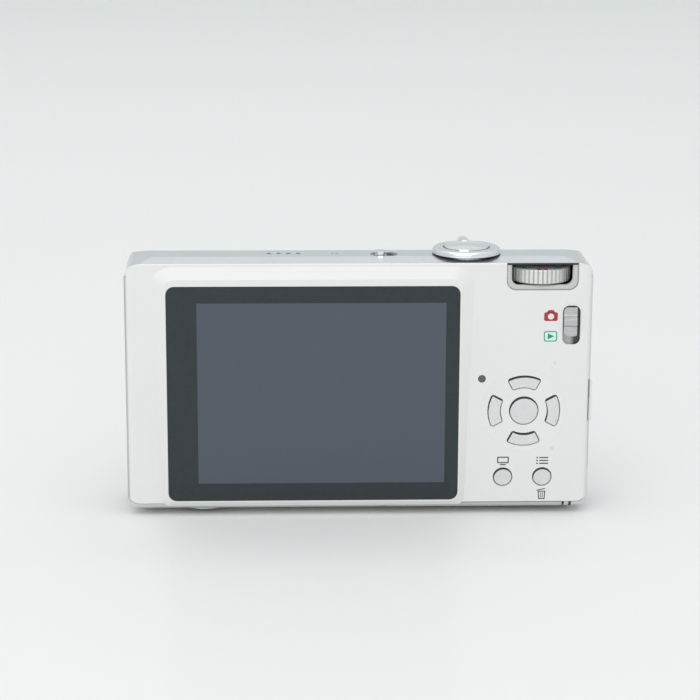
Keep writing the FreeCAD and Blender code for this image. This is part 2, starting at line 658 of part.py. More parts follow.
# hinge lugs stand on the base at both ends of the battery door's hinge
for y0, y1 in ((DOOR_Y0 - MOVE_GAP - 1.0, DOOR_Y0 - MOVE_GAP),
               (DOOR_Y1 + MOVE_GAP, DOOR_Y1 + MOVE_GAP + 0.9)):
    lug = box(HINGE_X - 0.8, HINGE_X + 0.8, y0, y1, BASE_Z + WALL / 2, HINGE_Z + 0.9)
    front_cover = front_cover.fuse(lug)
front_cover = front_cover.cut(Part.makeCompound([
    flash_hole, lamp_hole, lens_hole, door_hole, tripod_hole, strap_hole, term_hole,
    term_scoop,
    screw_room, rod_y(HINGE_X, HINGE_Z, HINGE_PIN_R + 0.02, DOOR_Y0 - 0.9, DOOR_Y1 + 0.9)]))

# Top cover: dial chamber roof, and holes for the top controls
top_cover = body_walls.common(top_space)
dial_roof = box(DIAL_X - BEZEL_LEFT + SEAM, DIAL_X + BEZEL_RIGHT - SEAM, REAR_FACE_Y,
                SHELL_Y0, ROOF_UNDER_Z, BODY_H)
top_cover = top_cover.fuse(outside.common(dial_roof))
power_area = (POWER_X - POWER_SLOT_L / 2, POWER_X + POWER_SLOT_L / 2,
              POWER_Y - POWER_SLOT_W / 2, POWER_Y + POWER_SLOT_W / 2)
power_slot = slab(rectangle(*power_area, POWER_SLOT_R), "xy", TOP_INNER_Z - 1, BODY_H + 1)
dial_room = box(DIAL_X - BEZEL_LEFT, DIAL_X + BEZEL_RIGHT, REAR_FACE_Y,
                REAR_FACE_Y + REAR_EDGE_R, TOP_SPLIT_Z, ROOF_UNDER_Z)
top_holes = [power_slot, dial_room,
             rod_z(RING_X, RING_Y, RING_NECK_R + MOVE_GAP, TOP_INNER_Z - 1, BODY_H + 1)]
for number in range(SPEAKER_HOLES):
    hole_x = SPEAKER_X + (number - (SPEAKER_HOLES - 1) / 2) * SPEAKER_PITCH
    top_holes.append(rod_z(hole_x, SPEAKER_Y, SPEAKER_HOLE_R, TOP_INNER_Z - 1, BODY_H + 1))
for side in (-0.5, 0.5):
    top_holes.append(rod_z(MIC_X + side * MIC_PITCH, SPEAKER_Y, MIC_HOLE_R,
                           TOP_INNER_Z - 1, BODY_H + 1))
top_cover = top_cover.cut(Part.makeCompound(top_holes))

# Rear cover: flat plate with a lap inside the walls and a raised field round the glass
rim_plate = outside.common(slab(REAR_OUTLINE, "xz", REAR_FACE_Y, REAR_SPLIT_Y))
foot_plate = slab(FIELD_FOOT, "xz", REAR_FACE_Y, REAR_SPLIT_Y)
lap_plate = slab(rectangle(*grown(rear_opening, -SEAM / 2), 2.0), "xz",
                 REAR_SPLIT_Y, INNER_REAR_Y)
field = Part.makeLoft([
    outline(rectangle(*field_flat, GLASS_CORNER), "xz", SCREEN_FACE_Y),
    outline(FIELD_FOOT, "xz", REAR_FACE_Y)], True, True)
rear_cover = fused([rim_plate, foot_plate, lap_plate, field])

dish_ball_r = (PAD_DISH_R ** 2 + PAD_DISH_DEPTH ** 2) / (2 * PAD_DISH_DEPTH)
dish = Part.makeSphere(dish_ball_r, Vector(PAD_X, REAR_FACE_Y + PAD_DISH_DEPTH - dish_ball_r,
                                           PAD_Z))
dish = dish.common(rod_y(PAD_X, PAD_Z, PAD_DISH_R + 1, REAR_FACE_Y - 1, INNER_REAR_Y))
CURSOR_ANGLES = {"up": 90.0, "left": 180.0, "down": 270.0, "right": 0.0}
ROUND_KEYS = {"menu_button": (PAD_X, PAD_Z, MENU_R),
              "display_button": (DISPLAY_X, SMALL_KEY_Z, SMALL_KEY_R),
              "quick_menu_button": (QUICK_X, SMALL_KEY_Z, SMALL_KEY_R)}
THROUGH = (SCREEN_FACE_Y - 1, INNER_REAR_Y + 1)
slot_area = (SLIDER_X - SLIDER_SLOT_W / 2, SLIDER_X + SLIDER_SLOT_W / 2,
             SLIDER_Z - SLIDER_SLOT_H / 2, SLIDER_Z + SLIDER_SLOT_H / 2)
stem_middle_z = slot_area[3] - MOVE_GAP - SLIDER_H / 2
rear_holes = [
    dish,
    slab(rectangle(*grown(GLASS, GLASS_GAP), GLASS_CORNER), "xz",
         SCREEN_FACE_Y - 1, GLASS_BACK_Y + SEAM / 2),
    slab(rectangle(*grown(PICTURE, 0.4), 0.5), "xz", *THROUGH),
    slab(rectangle(*grown(PICTURE, PANEL_EDGE + SEAM), 0.3), "xz",
         PANEL_Y0 - SEAM / 2, INNER_REAR_Y + 1),
    slab(rectangle(*slot_area, SLIDER_SLOT_R), "xz",
         REAR_FACE_Y - 1, REAR_FACE_Y + SLIDER_DEPTH),
    box(SLIDER_X - 0.8, SLIDER_X + 0.8, REAR_FACE_Y, INNER_REAR_Y + 1,
        stem_middle_z - SLIDER_STEM_H / 2 - SLIDER_TRAVEL - MOVE_GAP,
        stem_middle_z + SLIDER_STEM_H / 2 + MOVE_GAP),
    rod_y(LAMP_X, LAMP_Z, LAMP_R + SEAM / 2, *THROUGH)]
for angle in CURSOR_ANGLES.values():
    rear_holes.append(cursor_slab(angle, KEY_GAP, *THROUGH))
for x, z, radius in ROUND_KEYS.values():
    rear_holes.append(rod_y(x, z, radius + KEY_GAP, *THROUGH))

# U-shaped bezel round the mode dial, let into the rear cover
bezel_corners = [
    (DIAL_X - BEZEL_LEFT, NOTCH_FLOOR_Z - BEZEL_DOWN, BEZEL_CORNER),
    (DIAL_X + BEZEL_RIGHT, NOTCH_FLOOR_Z - BEZEL_DOWN, BEZEL_CORNER),
    (DIAL_X + BEZEL_RIGHT, BODY_H + 1, 0.2), (DIAL_X - BEZEL_LEFT, BODY_H + 1, 0.2)]
notch_corners = [
    (DIAL_X - NOTCH_HALF, NOTCH_FLOOR_Z, NOTCH_CORNER),
    (DIAL_X + NOTCH_HALF, NOTCH_FLOOR_Z, NOTCH_CORNER),
    (DIAL_X + NOTCH_HALF, BODY_H + 2, 0.2), (DIAL_X - NOTCH_HALF, BODY_H + 2, 0.2)]
roof_z = ROOF_UNDER_Z - SEAM
bezel = slab(bezel_corners, "xz", REAR_FACE_Y, REAR_FACE_Y + BEZEL_T)
bezel = bezel.cut(slab(notch_corners, "xz", REAR_FACE_Y - 1, INNER_REAR_Y))
bezel = bezel.cut(box(0, HALF_W, REAR_FACE_Y - 1, 0, roof_z, BODY_H + 2))
dial_bezel = bezel.makeChamfer(0.25, [
    edge for edge in bezel.Edges
    if edge.BoundBox.YMax < REAR_FACE_Y + 0.01
    and edge.BoundBox.XMin > DIAL_X - NOTCH_HALF - 0.01
    and edge.BoundBox.XMax < DIAL_X + NOTCH_HALF + 0.01
    and edge.BoundBox.ZMax < roof_z - 0.01 or
    edge.BoundBox.YMax < REAR_FACE_Y + 0.01
    and abs(abs(edge.CenterOfMass.x - DIAL_X) - NOTCH_HALF) < 0.01])
rear_holes.append(slab(bezel_corners, "xz", REAR_FACE_Y - 1,
                       REAR_FACE_Y + BEZEL_T + SEAM / 2, -SEAM / 2))
rear_holes.append(slab(notch_corners, "xz", REAR_FACE_Y - 1, INNER_REAR_Y + 1))
rear_cover = rear_cover.cut(Part.makeCompound(rear_holes))

# ---------------------------------------------------------------- front trim and windows
lens_trim_ring = rod_y(LENS_X, LENS_Z, RING_OUT_R, FRONT_FACE_Y, LENS_RING_Y)
lens_trim_ring = lens_trim_ring.makeFillet(1.4, [
    edge for edge in lens_trim_ring.Edges
    if edge.Closed and edge.BoundBox.YMin > LENS_RING_Y - 0.01])
ring_step_y = LENS_RING_Y - 0.8
lens_trim_ring = lens_trim_ring.cut(Part.makeCompound([
    rod_y(LENS_X, LENS_Z, FIXED_OUT_R + SEAM, FRONT_INNER_Y, ring_step_y),
    rod_y(LENS_X, LENS_Z, CAM_R + 0.2, FRONT_INNER_Y, LENS_RING_Y + 1)]))
flash_window = slab(rectangle(*flash_area, 0.8), "xz", FRONT_INNER_Y, FRONT_FACE_Y + 0.15)
focus_lamp_lens = rod_y(LAMP_LENS_X, FLASH_Z, LAMP_LENS_R, FRONT_INNER_Y,
                        FRONT_FACE_Y + 0.05)
focus_lamp_lens = focus_lamp_lens.fuse(rod_y(LAMP_LENS_X, FLASH_Z, LAMP_LENS_R + 0.6,
                                             FRONT_INNER_Y - 0.7, FRONT_INNER_Y - SEAM / 2))
focus_lamp_lens = focus_lamp_lens.fuse(rod_y(LAMP_LENS_X, FLASH_Z, LAMP_LENS_R,
                                             FRONT_INNER_Y - SEAM, FRONT_INNER_Y))

# ---------------------------------------------------------------- screen
screen_glass = slab(rectangle(*GLASS, GLASS_CORNER), "xz", SCREEN_FACE_Y, GLASS_BACK_Y)
screen_panel = slab(rectangle(*grown(PICTURE, PANEL_EDGE), 0.3), "xz", PANEL_Y0, PANEL_Y1)

# ---------------------------------------------------------------- chassis and lens base
LONG_AWAY = CAM_PITCH_R + LONG_TEETH * GEAR_MODULE / 2 + 0.03
gear_side = math.radians(GEAR_ANGLE)
LONG_X = LENS_X + LONG_AWAY * math.sin(gear_side)
GEARS_Z = LENS_Z + LONG_AWAY * math.cos(gear_side)
IDLER_X = LONG_X - (LONG_TEETH + IDLER_TEETH) * GEAR_MODULE / 2 - 0.03
MOTOR_X = IDLER_X - (IDLER_TEETH + MOTOR_TEETH) * GEAR_MODULE / 2 - 0.03
MOTOR_Y0 = GEAR_Y0 + GEAR_FACE + 0.5
LONG_GEAR_Y1 = GEAR_Y1 + STAGE_TRAVEL + 0.3

screw_tabs = []
for side, y, z in SIDE_SCREWS:
    edge_x = side * (HALF_W - WALL - SEAM / 2)
    tab_x = edge_x - side * 0.6
    screw_tabs.append(box(min(edge_x, tab_x), max(edge_x, tab_x), CHASSIS_Y0, y + 1.8,
                          z - 1.8, z + 1.8))
for x, y in BASE_SCREWS:
    screw_tabs.append(box(x - 1.5, x + 1.5, CHASSIS_Y0, y + 1.8, BASE_Z + WALL + SEAM / 2,
                          BASE_Z + WALL + SEAM / 2 + 0.6))
    screw_tabs.append(box(x - 1.5, x + 1.5, CHASSIS_Y0, CHASSIS_Y1,
                          BASE_Z + WALL + SEAM / 2, 5.0))
chassis_edge = HALF_W - WALL - SEAM / 2 - 0.6
plate_corners = rectangle(-chassis_edge - 0.1, chassis_edge + 0.1, CHASSIS_Z0,
                          BODY_H - CHASSIS_DOWN, 1.0)
chassis = fused([slab(plate_corners, "xz", CHASSIS_Y0, CHASSIS_Y1)] + screw_tabs)
chassis_holes = [slab(rectangle(x0, x1, z0, z1, 1.0), "xz", CHASSIS_Y0 - 1, CHASSIS_Y1 + 1)
                 for x0, x1, z0, z1 in (
                     (3.85 - HALF_W, 9.85 - HALF_W, 14.0, 27.0),
                     (3.85 - HALF_W, 9.85 - HALF_W, BODY_H - 17.9, BODY_H - 10.9),
                     (HALF_W - 23.35, HALF_W - 5.35, 8.0, 16.0),
                     (HALF_W - 23.35, HALF_W - 5.35, 26.0, 34.0))]
bush_notch = box(TRIPOD_X - TRIPOD_R - SEAM, TRIPOD_X + TRIPOD_R + SEAM, CHASSIS_Y0 - 1,
                 CHASSIS_Y1 + 1, 0, TRIPOD_H + 1.0 + SEAM)
chassis = chassis.cut(Part.makeCompound(chassis_holes + [screw_room, bush_notch]))

lens_base = rod_y(LENS_X, LENS_Z, LENS_FOOT_R, LENS_BASE_Y0, LENS_BASE_Y1)
gear_tray = slab(rectangle(MOTOR_X - 4.4, LONG_X + 2.0, GEARS_Z - TRAY_HALF,
                            GEARS_Z + TRAY_HALF, 1.0),
                 "xz", LENS_BASE_Y0, LENS_BASE_Y1)
motor_holder = rod_y(MOTOR_X, GEARS_Z, MOTOR_R + 0.75, MOTOR_Y0, MOTOR_Y0 + 3.5)
posts = [box(MOTOR_X - 2.3, MOTOR_X + 1.4, LENS_BASE_Y1, MOTOR_Y0 + 3.5, z, z + 0.8)
         for z in (GEARS_Z - 4.55, GEARS_Z + 3.75)]
gear_pins = [rod_y(x, GEARS_Z, GEAR_PIN_R, LENS_BASE_Y1, y1)
             for x, y1 in ((LONG_X, LONG_GEAR_Y1), (IDLER_X, GEAR_Y1 + 0.3))]
sensor_hole = box(LENS_X - SENSOR_HALF_W - SEAM, LENS_X + SENSOR_HALF_W + SEAM,
                  LENS_BASE_Y0 - 1, LENS_BASE_Y1 + 1,
                  LENS_Z - SENSOR_HALF_H - SEAM, LENS_Z + SENSOR_HALF_H + SEAM)
lens_base = fused([lens_base, gear_tray, motor_holder] + posts)
lens_base = lens_base.cut(rod_y(MOTOR_X, GEARS_Z, MOTOR_R + 0.02, MOTOR_Y0 - 1,
                                MOTOR_Y0 + 4.5))
lens_base = fused([lens_base] + gear_pins).cut(sensor_hole)
image_sensor = box(LENS_X - SENSOR_HALF_W, LENS_X + SENSOR_HALF_W, LENS_BASE_Y0,
                   LENS_BASE_Y1 + 0.6, LENS_Z - SENSOR_HALF_H, LENS_Z + SENSOR_HALF_H)

# ---------------------------------------------------------------- lens barrels
# Built round Z, then turned to the lens axis; 0 degrees points up the camera.
SLOT_STARTS = [GEAR_ANGLE - 22.5 - CAM_TURN + 120 * k for k in range(3)]
KEY_ANGLES = [GEAR_ANGLE + 120 * k for k in (1, 2)]
FIXED_FRONT_Y = LENS_RING_Y - 0.8 - SEAM / 2
KEY_W = 3.0
KEY_Y1 = GEAR_Y0 - SEAM
KEY_Y0 = KEY_Y1 - 0.7

fixed_barrel = ring(FIXED_R, FIXED_OUT_R, LENS_BASE_Y1, FIXED_FRONT_Y)
slots = [helical_slot(FIXED_R - 0.5, FIXED_OUT_R + 0.8, CAM_PIN_Y, start, False)
         for start in SLOT_STARTS]
slots += [straight_slot(KEY_W + 0.2, FIXED_R - 0.5, FIXED_OUT_R + 0.5, LENS_BASE_Y1 - 1,
                        KEY_Y1 + STAGE_TRAVEL + 0.15, angle) for angle in KEY_ANGLES]
window = ring(0.01, LONG_TEETH * GEAR_MODULE / 2 + GEAR_MODULE + 0.2, LENS_BASE_Y1 - 1,
              FRONT_INNER_Y)
window.translate(Vector(LONG_AWAY, 0, 0))
window.rotate(Vector(0, 0, 0), Vector(0, 0, 1), GEAR_ANGLE)
fixed_barrel = on_lens_axis(fixed_barrel.cut(Part.makeCompound(slots + [window])))

GROOVE_R = CAM_IN_R + 0.5
cam_ring = ring(CAM_IN_R, CAM_PITCH_R - 1.2 * GEAR_MODULE, GEAR_Y0, GEAR_Y1 + 0.1)
cam_ring = cam_ring.fuse(ring(CAM_IN_R, CAM_R, GEAR_Y1, BARREL_FRONT_Y))
cam_ring = cam_ring.fuse(gear(CAM_TEETH, GEAR_Y0, GEAR_Y1, CAM_IN_R, GEAR_ANGLE))
cam_ring = cam_ring.fuse([radial(PIN_R, CAM_IN_R + 0.3, FIXED_OUT_R - 0.3, CAM_PIN_Y, start)
                          for start in SLOT_STARTS])
INNER_PIN_ANGLES = [GEAR_ANGLE + 60 + 120 * k for k in range(3)]
cam_ring = cam_ring.cut(Part.makeCompound(
    [helical_slot(CAM_IN_R - 0.3, GROOVE_R, INNER_PIN_Y, angle, True)
     for angle in INNER_PIN_ANGLES]))
cam_ring = on_lens_axis(cam_ring)

guide_ring = ring(GUIDE_IN_R, GUIDE_R, KEY_Y0, BARREL_FRONT_Y - 0.7)
guide_ring = guide_ring.fuse(ring(GUIDE_IN_R, CAM_R - 0.1, KEY_Y0, KEY_Y1))
guide_ring = guide_ring.fuse([straight_slot(KEY_W, GUIDE_IN_R + 0.2, FIXED_OUT_R - 0.3,
                                            KEY_Y0, KEY_Y1, angle)
                              for angle in KEY_ANGLES])
pin_room = PIN_R + PIN_GAP
guide_slots = []
for angle in INNER_PIN_ANGLES:
    guide_slots.append(straight_slot(2 * pin_room, GUIDE_IN_R - 0.5, GUIDE_R + 0.05,
                                     INNER_PIN_Y, INNER_PIN_Y + STAGE_TRAVEL, angle))
    for height in (INNER_PIN_Y, INNER_PIN_Y + STAGE_TRAVEL):
        guide_slots.append(radial(pin_room, GUIDE_IN_R - 0.5, GUIDE_R + 0.05, height, angle))
guide_ring = on_lens_axis(guide_ring.cut(Part.makeCompound(guide_slots)))

INNER_Y0 = KEY_Y0 + 0.9
CAP_Y0 = CAP_FRONT_Y - CAP_T
inner_barrel = ring(INNER_IN_R, INNER_R, INNER_Y0, CAP_Y0)
inner_barrel = inner_barrel.fuse(ring(LENS_SEAT_R, INNER_IN_R + 0.2,
                                      FRONT_LENS_Y - FRONT_LENS_EDGE / 2,
                                      FRONT_LENS_Y + FRONT_LENS_EDGE / 2))
inner_barrel = inner_barrel.fuse([radial(PIN_R, INNER_IN_R + 0.3, GROOVE_R - 0.1,
                                         INNER_PIN_Y, angle) for angle in INNER_PIN_ANGLES])
inner_barrel = on_lens_axis(inner_barrel)


def lens_element(radius, middle, edge, front_r, rear_r):
    """A round lens element: an edge cylinder between two shallow domes."""
    disc = Part.makeCylinder(radius, edge, Vector(0, 0, middle - edge / 2))
    for ball_r, way in ((front_r, 1), (rear_r, -1)):
        height = ball_r - math.sqrt(ball_r ** 2 - radius ** 2)
        ball = Part.makeSphere(ball_r, Vector(0, 0, middle + way * (edge / 2 + height - ball_r)))
        base = middle + edge / 2 if way > 0 else middle - edge / 2 - height
        disc = disc.fuse(ball.common(Part.makeCylinder(radius, height, Vector(0, 0, base))))
    return disc.removeSplitter()


front_lens = on_lens_axis(lens_element(LENS_SEAT_R - 0.02, FRONT_LENS_Y, FRONT_LENS_EDGE,
                                       FRONT_BALL_R, FRONT_BACK_BALL_R))
holder_span = (REAR_LENS_Y - 0.2, REAR_LENS_Y - 0.2 + HOLDER_T)
tube_middle = REAR_LENS_Y - 0.1
rear_holder = ring(REAR_LENS_R, HOLDER_R, *holder_span)
rear_holder = rear_holder.fuse(ring(REAR_LENS_R, HOLDER_TUBE_R, tube_middle - HOLDER_TUBE_HALF,
                                    tube_middle + HOLDER_TUBE_HALF + 0.1))
rear_holder = rear_holder.fuse([straight_slot(1.6, HOLDER_R - 0.6, INNER_IN_R - 0.05,
                                              *holder_span, angle)
                                for angle in INNER_PIN_ANGLES])
rear_lens = rear_holder.fuse(lens_element(REAR_LENS_R + 0.05, REAR_LENS_Y, REAR_LENS_EDGE,
                                          REAR_BALL_R, REAR_BALL_R))
rear_lens = on_lens_axis(rear_lens.removeSplitter())

BLADE_Y1 = CAP_Y0 - 0.12
BLADE_Y0 = BLADE_Y1 - BLADE_T
front_cap = ring(APERTURE_R, INNER_R, CAP_Y0, CAP_FRONT_Y)
rim = [edge for edge in front_cap.Edges
       if edge.Closed and edge.BoundBox.ZMin > CAP_FRONT_Y - 0.01
       and edge.BoundBox.XMax < APERTURE_R + 0.01]
front_cap = front_cap.makeChamfer(0.6, rim)
stops = []
for side in (-1, 1):
    stops.append(Part.makeCylinder(BLADE_PIN_R, CAP_Y0 - BLADE_Y0 + 0.5,
                                   Vector(0, side * BLADE_PIVOT, BLADE_Y0 - 0.3)))
front_cap = on_lens_axis(front_cap.fuse(stops))


def blade(side):
    """Half of the lens barrier: a half disc with an arm to its pivot pin."""
    half = Part.makeCylinder(BLADE_R, BLADE_T, Vector(0, 0, BLADE_Y0))
    half = half.common(Part.makeBox(BLADE_R, 2 * BLADE_R, BLADE_T,
                                    Vector(0.02, -BLADE_R, BLADE_Y0)))
    arm = Part.makeBox(1.2, BLADE_PIVOT - 3.0, BLADE_T, Vector(0.02, 3.0, BLADE_Y0))
    boss = Part.makeCylinder(1.2, BLADE_T, Vector(0, BLADE_PIVOT, BLADE_Y0))
    hole = Part.makeCylinder(BLADE_PIN_R + 0.05, 2, Vector(0, BLADE_PIVOT, BLADE_Y0 - 1))
    whole = half.fuse([arm, boss]).cut(hole).removeSplitter()
    if side < 0:
        whole.rotate(Vector(0, 0, 0), Vector(0, 0, 1), 180)
    return on_lens_axis(whole)


barrier_blade_upper = blade(1)
barrier_blade_lower = blade(-1)

# ---------------------------------------------------------------- zoom gear train
def train_gear(teeth, x, y0, y1, bore, first_angle):
    return turned_to(x, GEARS_Z, gear(teeth, y0, y1, bore, first_angle))


# 0 degrees is up and 90 degrees is +X; each gear meets the one before it gap to tooth
long_gear = train_gear(LONG_TEETH, LONG_X, GEAR_Y0, LONG_GEAR_Y1, GEAR_PIN_R + 0.05,
                       GEAR_ANGLE + 180 + 180 / LONG_TEETH)
long_phase = (GEAR_ANGLE + 180 + 180 / LONG_TEETH) - (-90)
gap_share = (long_phase % (360 / LONG_TEETH)) * LONG_TEETH / 360
idler_gear = train_gear(IDLER_TEETH, IDLER_X, GEAR_Y0, GEAR_Y1, GEAR_PIN_R + 0.05,
                        90 + (0.5 + gap_share) * 360 / IDLER_TEETH)
idler_phase = 90 + (0.5 + gap_share) * 360 / IDLER_TEETH - (-90)
idler_share = (idler_phase % (360 / IDLER_TEETH)) * IDLER_TEETH / 360
motor_gear = train_gear(MOTOR_TEETH, MOTOR_X, GEAR_Y0, GEAR_Y1, 0.01,
                        90 + (0.5 + idler_share) * 360 / MOTOR_TEETH)
motor_gear = motor_gear.fuse(rod_y(MOTOR_X, GEARS_Z, GEAR_PIN_R, GEAR_Y0, MOTOR_Y0 + 0.8))
zoom_motor = rod_y(MOTOR_X, GEARS_Z, MOTOR_R, MOTOR_Y0, MOTOR_Y0 + MOTOR_L).cut(
    rod_y(MOTOR_X, GEARS_Z, GEAR_PIN_R + 0.05, MOTOR_Y0 - 1, MOTOR_Y0 + 1.0))

# ---------------------------------------------------------------- battery and card
battery_area = (BATTERY_X0, BATTERY_X1, BATTERY_Y0, BATTERY_Y1)
battery = slab(rectangle(*battery_area, 0.8), "xy", BATTERY_Z0, BATTERY_TOP_Z)
CONTACT_Z = BATTERY_TOP_Z + 0.05
CONTACTS = [BATTERY_X0 + 4.0 + step * 3.2 for step in range(3)]
battery_contacts = Part.makeCompound([
    fused([box(x - 0.7, x + 0.7, BATTERY_Y0 + 1.5, BATTERY_Y1 - 1.5, CONTACT_Z,
               CONTACT_Z + 0.25),
           box(x - 0.7, x + 0.7, BATTERY_Y0 + 1.5, BATTERY_Y0 + 1.8, CONTACT_Z,
               CONTACT_Z + 0.55)]) for x in CONTACTS])
box_top_z = CONTACT_Z + 0.55 + BOX_WALL
battery_box = box(battery_area[0] - SEAM - BOX_WALL, battery_area[1] + SEAM + BOX_WALL,
                  BOX_Y0, BOX_Y1, DOOR_TOP_Z + 0.45, box_top_z)
battery_box = battery_box.cut(box(battery_area[0] - SEAM, battery_area[1] + SEAM,
                                  BATTERY_Y0 - SEAM, BATTERY_Y1 + SEAM, 0,
                                  CONTACT_Z + 0.55))

card_area = (CARD_X0, CARD_X0 + CARD_W, CARD_Y0, CARD_Y1)
memory_card = slab([(card_area[0], CARD_Z0, 0.6), (card_area[1], CARD_Z0, 0.6),
                    (card_area[1], CARD_Z0 + CARD_L - 4, 0.6),
                    (card_area[1] - 4, CARD_Z0 + CARD_L, 0.6),
                    (card_area[0], CARD_Z0 + CARD_L, 0.6)], "xz", CARD_Y0, CARD_Y1)
socket_top_z = CARD_Z0 + CARD_L + CARD_PUSH + 0.2
card_socket = box(card_area[0] - 1.2, card_area[1] + 1.2, SOCKET_Y0, SOCKET_Y1,
                  CARD_Z0 + 1.0, socket_top_z + 1.0)
card_socket = card_socket.cut(box(card_area[0] - SEAM, card_area[1] + SEAM, CARD_Y0 - SEAM,
                                  CARD_Y1 + SEAM, 0, socket_top_z))

# Door: outer plate up to the rear edge of the case, inner plate, and a knuckle between the
# lugs of the front cover
battery_door = slab(rectangle(DOOR_X0, DOOR_X1, DOOR_Y0, DOOR_Y1, 0.6), "xy", 0, DOOR_T)
door_rear = walls.common(box(DOOR_X0, DOOR_X1, REAR_FACE_Y, DOOR_Y0 + 1, 0,
                             REAR_BASE_Z - MOVE_GAP))
door_rear = door_rear.cut(slab(FIELD_FOOT, "xz", REAR_FACE_Y - 1, SHELL_Y0, -MOVE_GAP))
battery_door = battery_door.fuse(door_rear)
battery_door = battery_door.fuse(box(DOOR_X0 + 0.7, DOOR_X1 - 0.4, DOOR_Y0 + 0.5,
                                     DOOR_Y1 - 0.5, DOOR_T, DOOR_TOP_Z))
battery_door = battery_door.fuse(rod_y(HINGE_X, HINGE_Z, HINGE_KNUCKLE_R, DOOR_Y0 + 0.2,
                                       DOOR_Y1 - 0.2))
battery_door = battery_door.fuse(box(DOOR_X1 - 0.6, HINGE_X, DOOR_Y0 + 0.2, DOOR_Y1 - 0.2,
                                     HINGE_Z - 0.5, HINGE_Z + 0.5))
battery_door = battery_door.cut(rod_y(HINGE_X, HINGE_Z, HINGE_PIN_R + 0.05,
                                      DOOR_Y0 - 1, DOOR_Y1 + 1))
release_area = (RELEASE_X - 1.6, RELEASE_X + 1.6, DOOR_MIDDLE_Y - 2.6, DOOR_MIDDLE_Y + 2.6)
battery_door = battery_door.cut(box(release_area[0] - MOVE_GAP,
                                    release_area[1] + RELEASE_TRAVEL + MOVE_GAP,
                                    release_area[2] - MOVE_GAP, release_area[3] + MOVE_GAP,
                                    -1, 0.55))
battery_door = battery_door.cut(box(RELEASE_X - 0.9, RELEASE_X + 0.9 + RELEASE_TRAVEL,
                                    DOOR_MIDDLE_Y - 1.0, DOOR_MIDDLE_Y + 1.0, 0, 2))
battery_door = battery_door.removeSplitter()
door_release = slab(rectangle(*release_area, 0.4), "xy", 0.05, 0.5)
door_release = door_release.cut(Part.makeCompound([
    box(x - 0.12, x + 0.12, release_area[2] + 0.6, release_area[3] - 0.6, 0, 0.15)
    for x in (RELEASE_X - 0.8, RELEASE_X, RELEASE_X + 0.8)]))
door_release = fused([
    door_release,
    box(RELEASE_X - 0.75, RELEASE_X + 0.75, DOOR_MIDDLE_Y - 0.85, DOOR_MIDDLE_Y + 0.85, 0.4,
        DOOR_TOP_Z + 0.05),
    box(DOOR_X0 + 0.1, RELEASE_X + 1.2, DOOR_MIDDLE_Y - 1.6, DOOR_MIDDLE_Y + 1.6,
        DOOR_TOP_Z + 0.05, DOOR_TOP_Z + 0.25)])
door_hinge_pin = rod_y(HINGE_X, HINGE_Z, HINGE_PIN_R, DOOR_Y0 - 0.9, DOOR_Y1 + 0.9)

# ---------------------------------------------------------------- boards
main_board = slab(rectangle(BOARD_X0, BOARD_X1, BOARD_Z0, BOARD_Z1, 0.8), "xz",
                  BOARD_Y0, BOARD_Y1)
# each chip by its lower left corner, width and height on the board, and thickness
CHIPS = [(BOARD_X0 + 3.7, BOARD_Z1 - 16.4, 12.0, 12.0, 1.1),
         (BOARD_X0 + 18.7, BOARD_Z1 - 13.4, 9.0, 9.0, 0.9),
         (BOARD_X0 + 3.7, BOARD_Z0 + 10.4, 8.0, 8.0, 1.0),
         (BOARD_X0 + 14.7, BOARD_Z0 + 12.4, 9.0, 8.0, 0.8),
         (BOARD_X0 + 3.7, BOARD_Z0 + 2.9, 10.0, 5.5, 0.7),
         (BOARD_X1 - 8.0, BOARD_Z0 + 1.9, 5.5, 6.5, 0.8)]
small_parts = [(BOARD_X0 + 1.7 + 2.2 * step, BOARD_Z1 - 2.4, 1.2, 0.6, 0.5)
               for step in range(12)]
small_parts += [(BOARD_X1 - 17.0 + 2.0 * step, BOARD_Z0 + 9.4, 1.0, 0.6, 0.5)
                for step in range(7)]
board_components = Part.makeCompound([
    box(x, x + width, BOARD_Y0 - height, BOARD_Y0, z, z + length)
    for x, z, width, length, height in CHIPS + small_parts])
terminal_jack = box(HALF_W - 1.3 - JACK_L, HALF_W - 1.3, BOARD_Y1, BOX_Y0 - SEAM,
                    TERM_Z0 + 1.9, TERM_Z0 + 1.9 + JACK_H)
terminal_jack = terminal_jack.cut(box(HALF_W - 1.3 - JACK_L + 1, HALF_W, BOARD_Y1 + 0.35,
                                      BOX_Y0 - SEAM - 0.35, TERM_Z0 + 2.3,
                                      TERM_Z0 + 1.5 + JACK_H))
terminal_jack = terminal_jack.fuse(box(HALF_W - 1.0 - JACK_L, HALF_W - 2.3, BOARD_Y1 + 1.1,
                                       BOARD_Y1 + 1.6, TERM_Z0 + 3.2,
                                       TERM_Z0 + 0.6 + JACK_H))

key_board = slab(rectangle(GLASS[1] + KEY_BOARD_LEFT, HALF_W - KEY_BOARD_IN, KEY_BOARD_Z0,
                           BODY_H - KEY_BOARD_DOWN, 0.8), "xz", KEY_BOARD_Y0, KEY_BOARD_Y1)
key_places = [(x, z) for x, z, radius in ROUND_KEYS.values()]
for angle in CURSOR_ANGLES.values():
    spot = pad_point((CURSOR_IN_R + CURSOR_OUT_R) / 2, angle, 0)
    key_places.append((spot.x, spot.z))
key_domes = []
for x, z in key_places:
    key_domes.append(Part.makeCone(DOME_R, DOME_TOP_R, DOME_T, Vector(x, KEY_BOARD_Y0, z),
                                   Vector(0, -1, 0)))
key_domes = Part.makeCompound(key_domes)
slider_switch = box(SLIDER_X - 1.6, SLIDER_X + 1.6, KEY_BOARD_Y0 - 0.35, KEY_BOARD_Y0,
                    SLIDER_Z - 4.0, SLIDER_Z + 4.0)
status_lamp = rod_y(LAMP_X, LAMP_Z, LAMP_R, REAR_FACE_Y + 0.05, INNER_REAR_Y + 0.2)
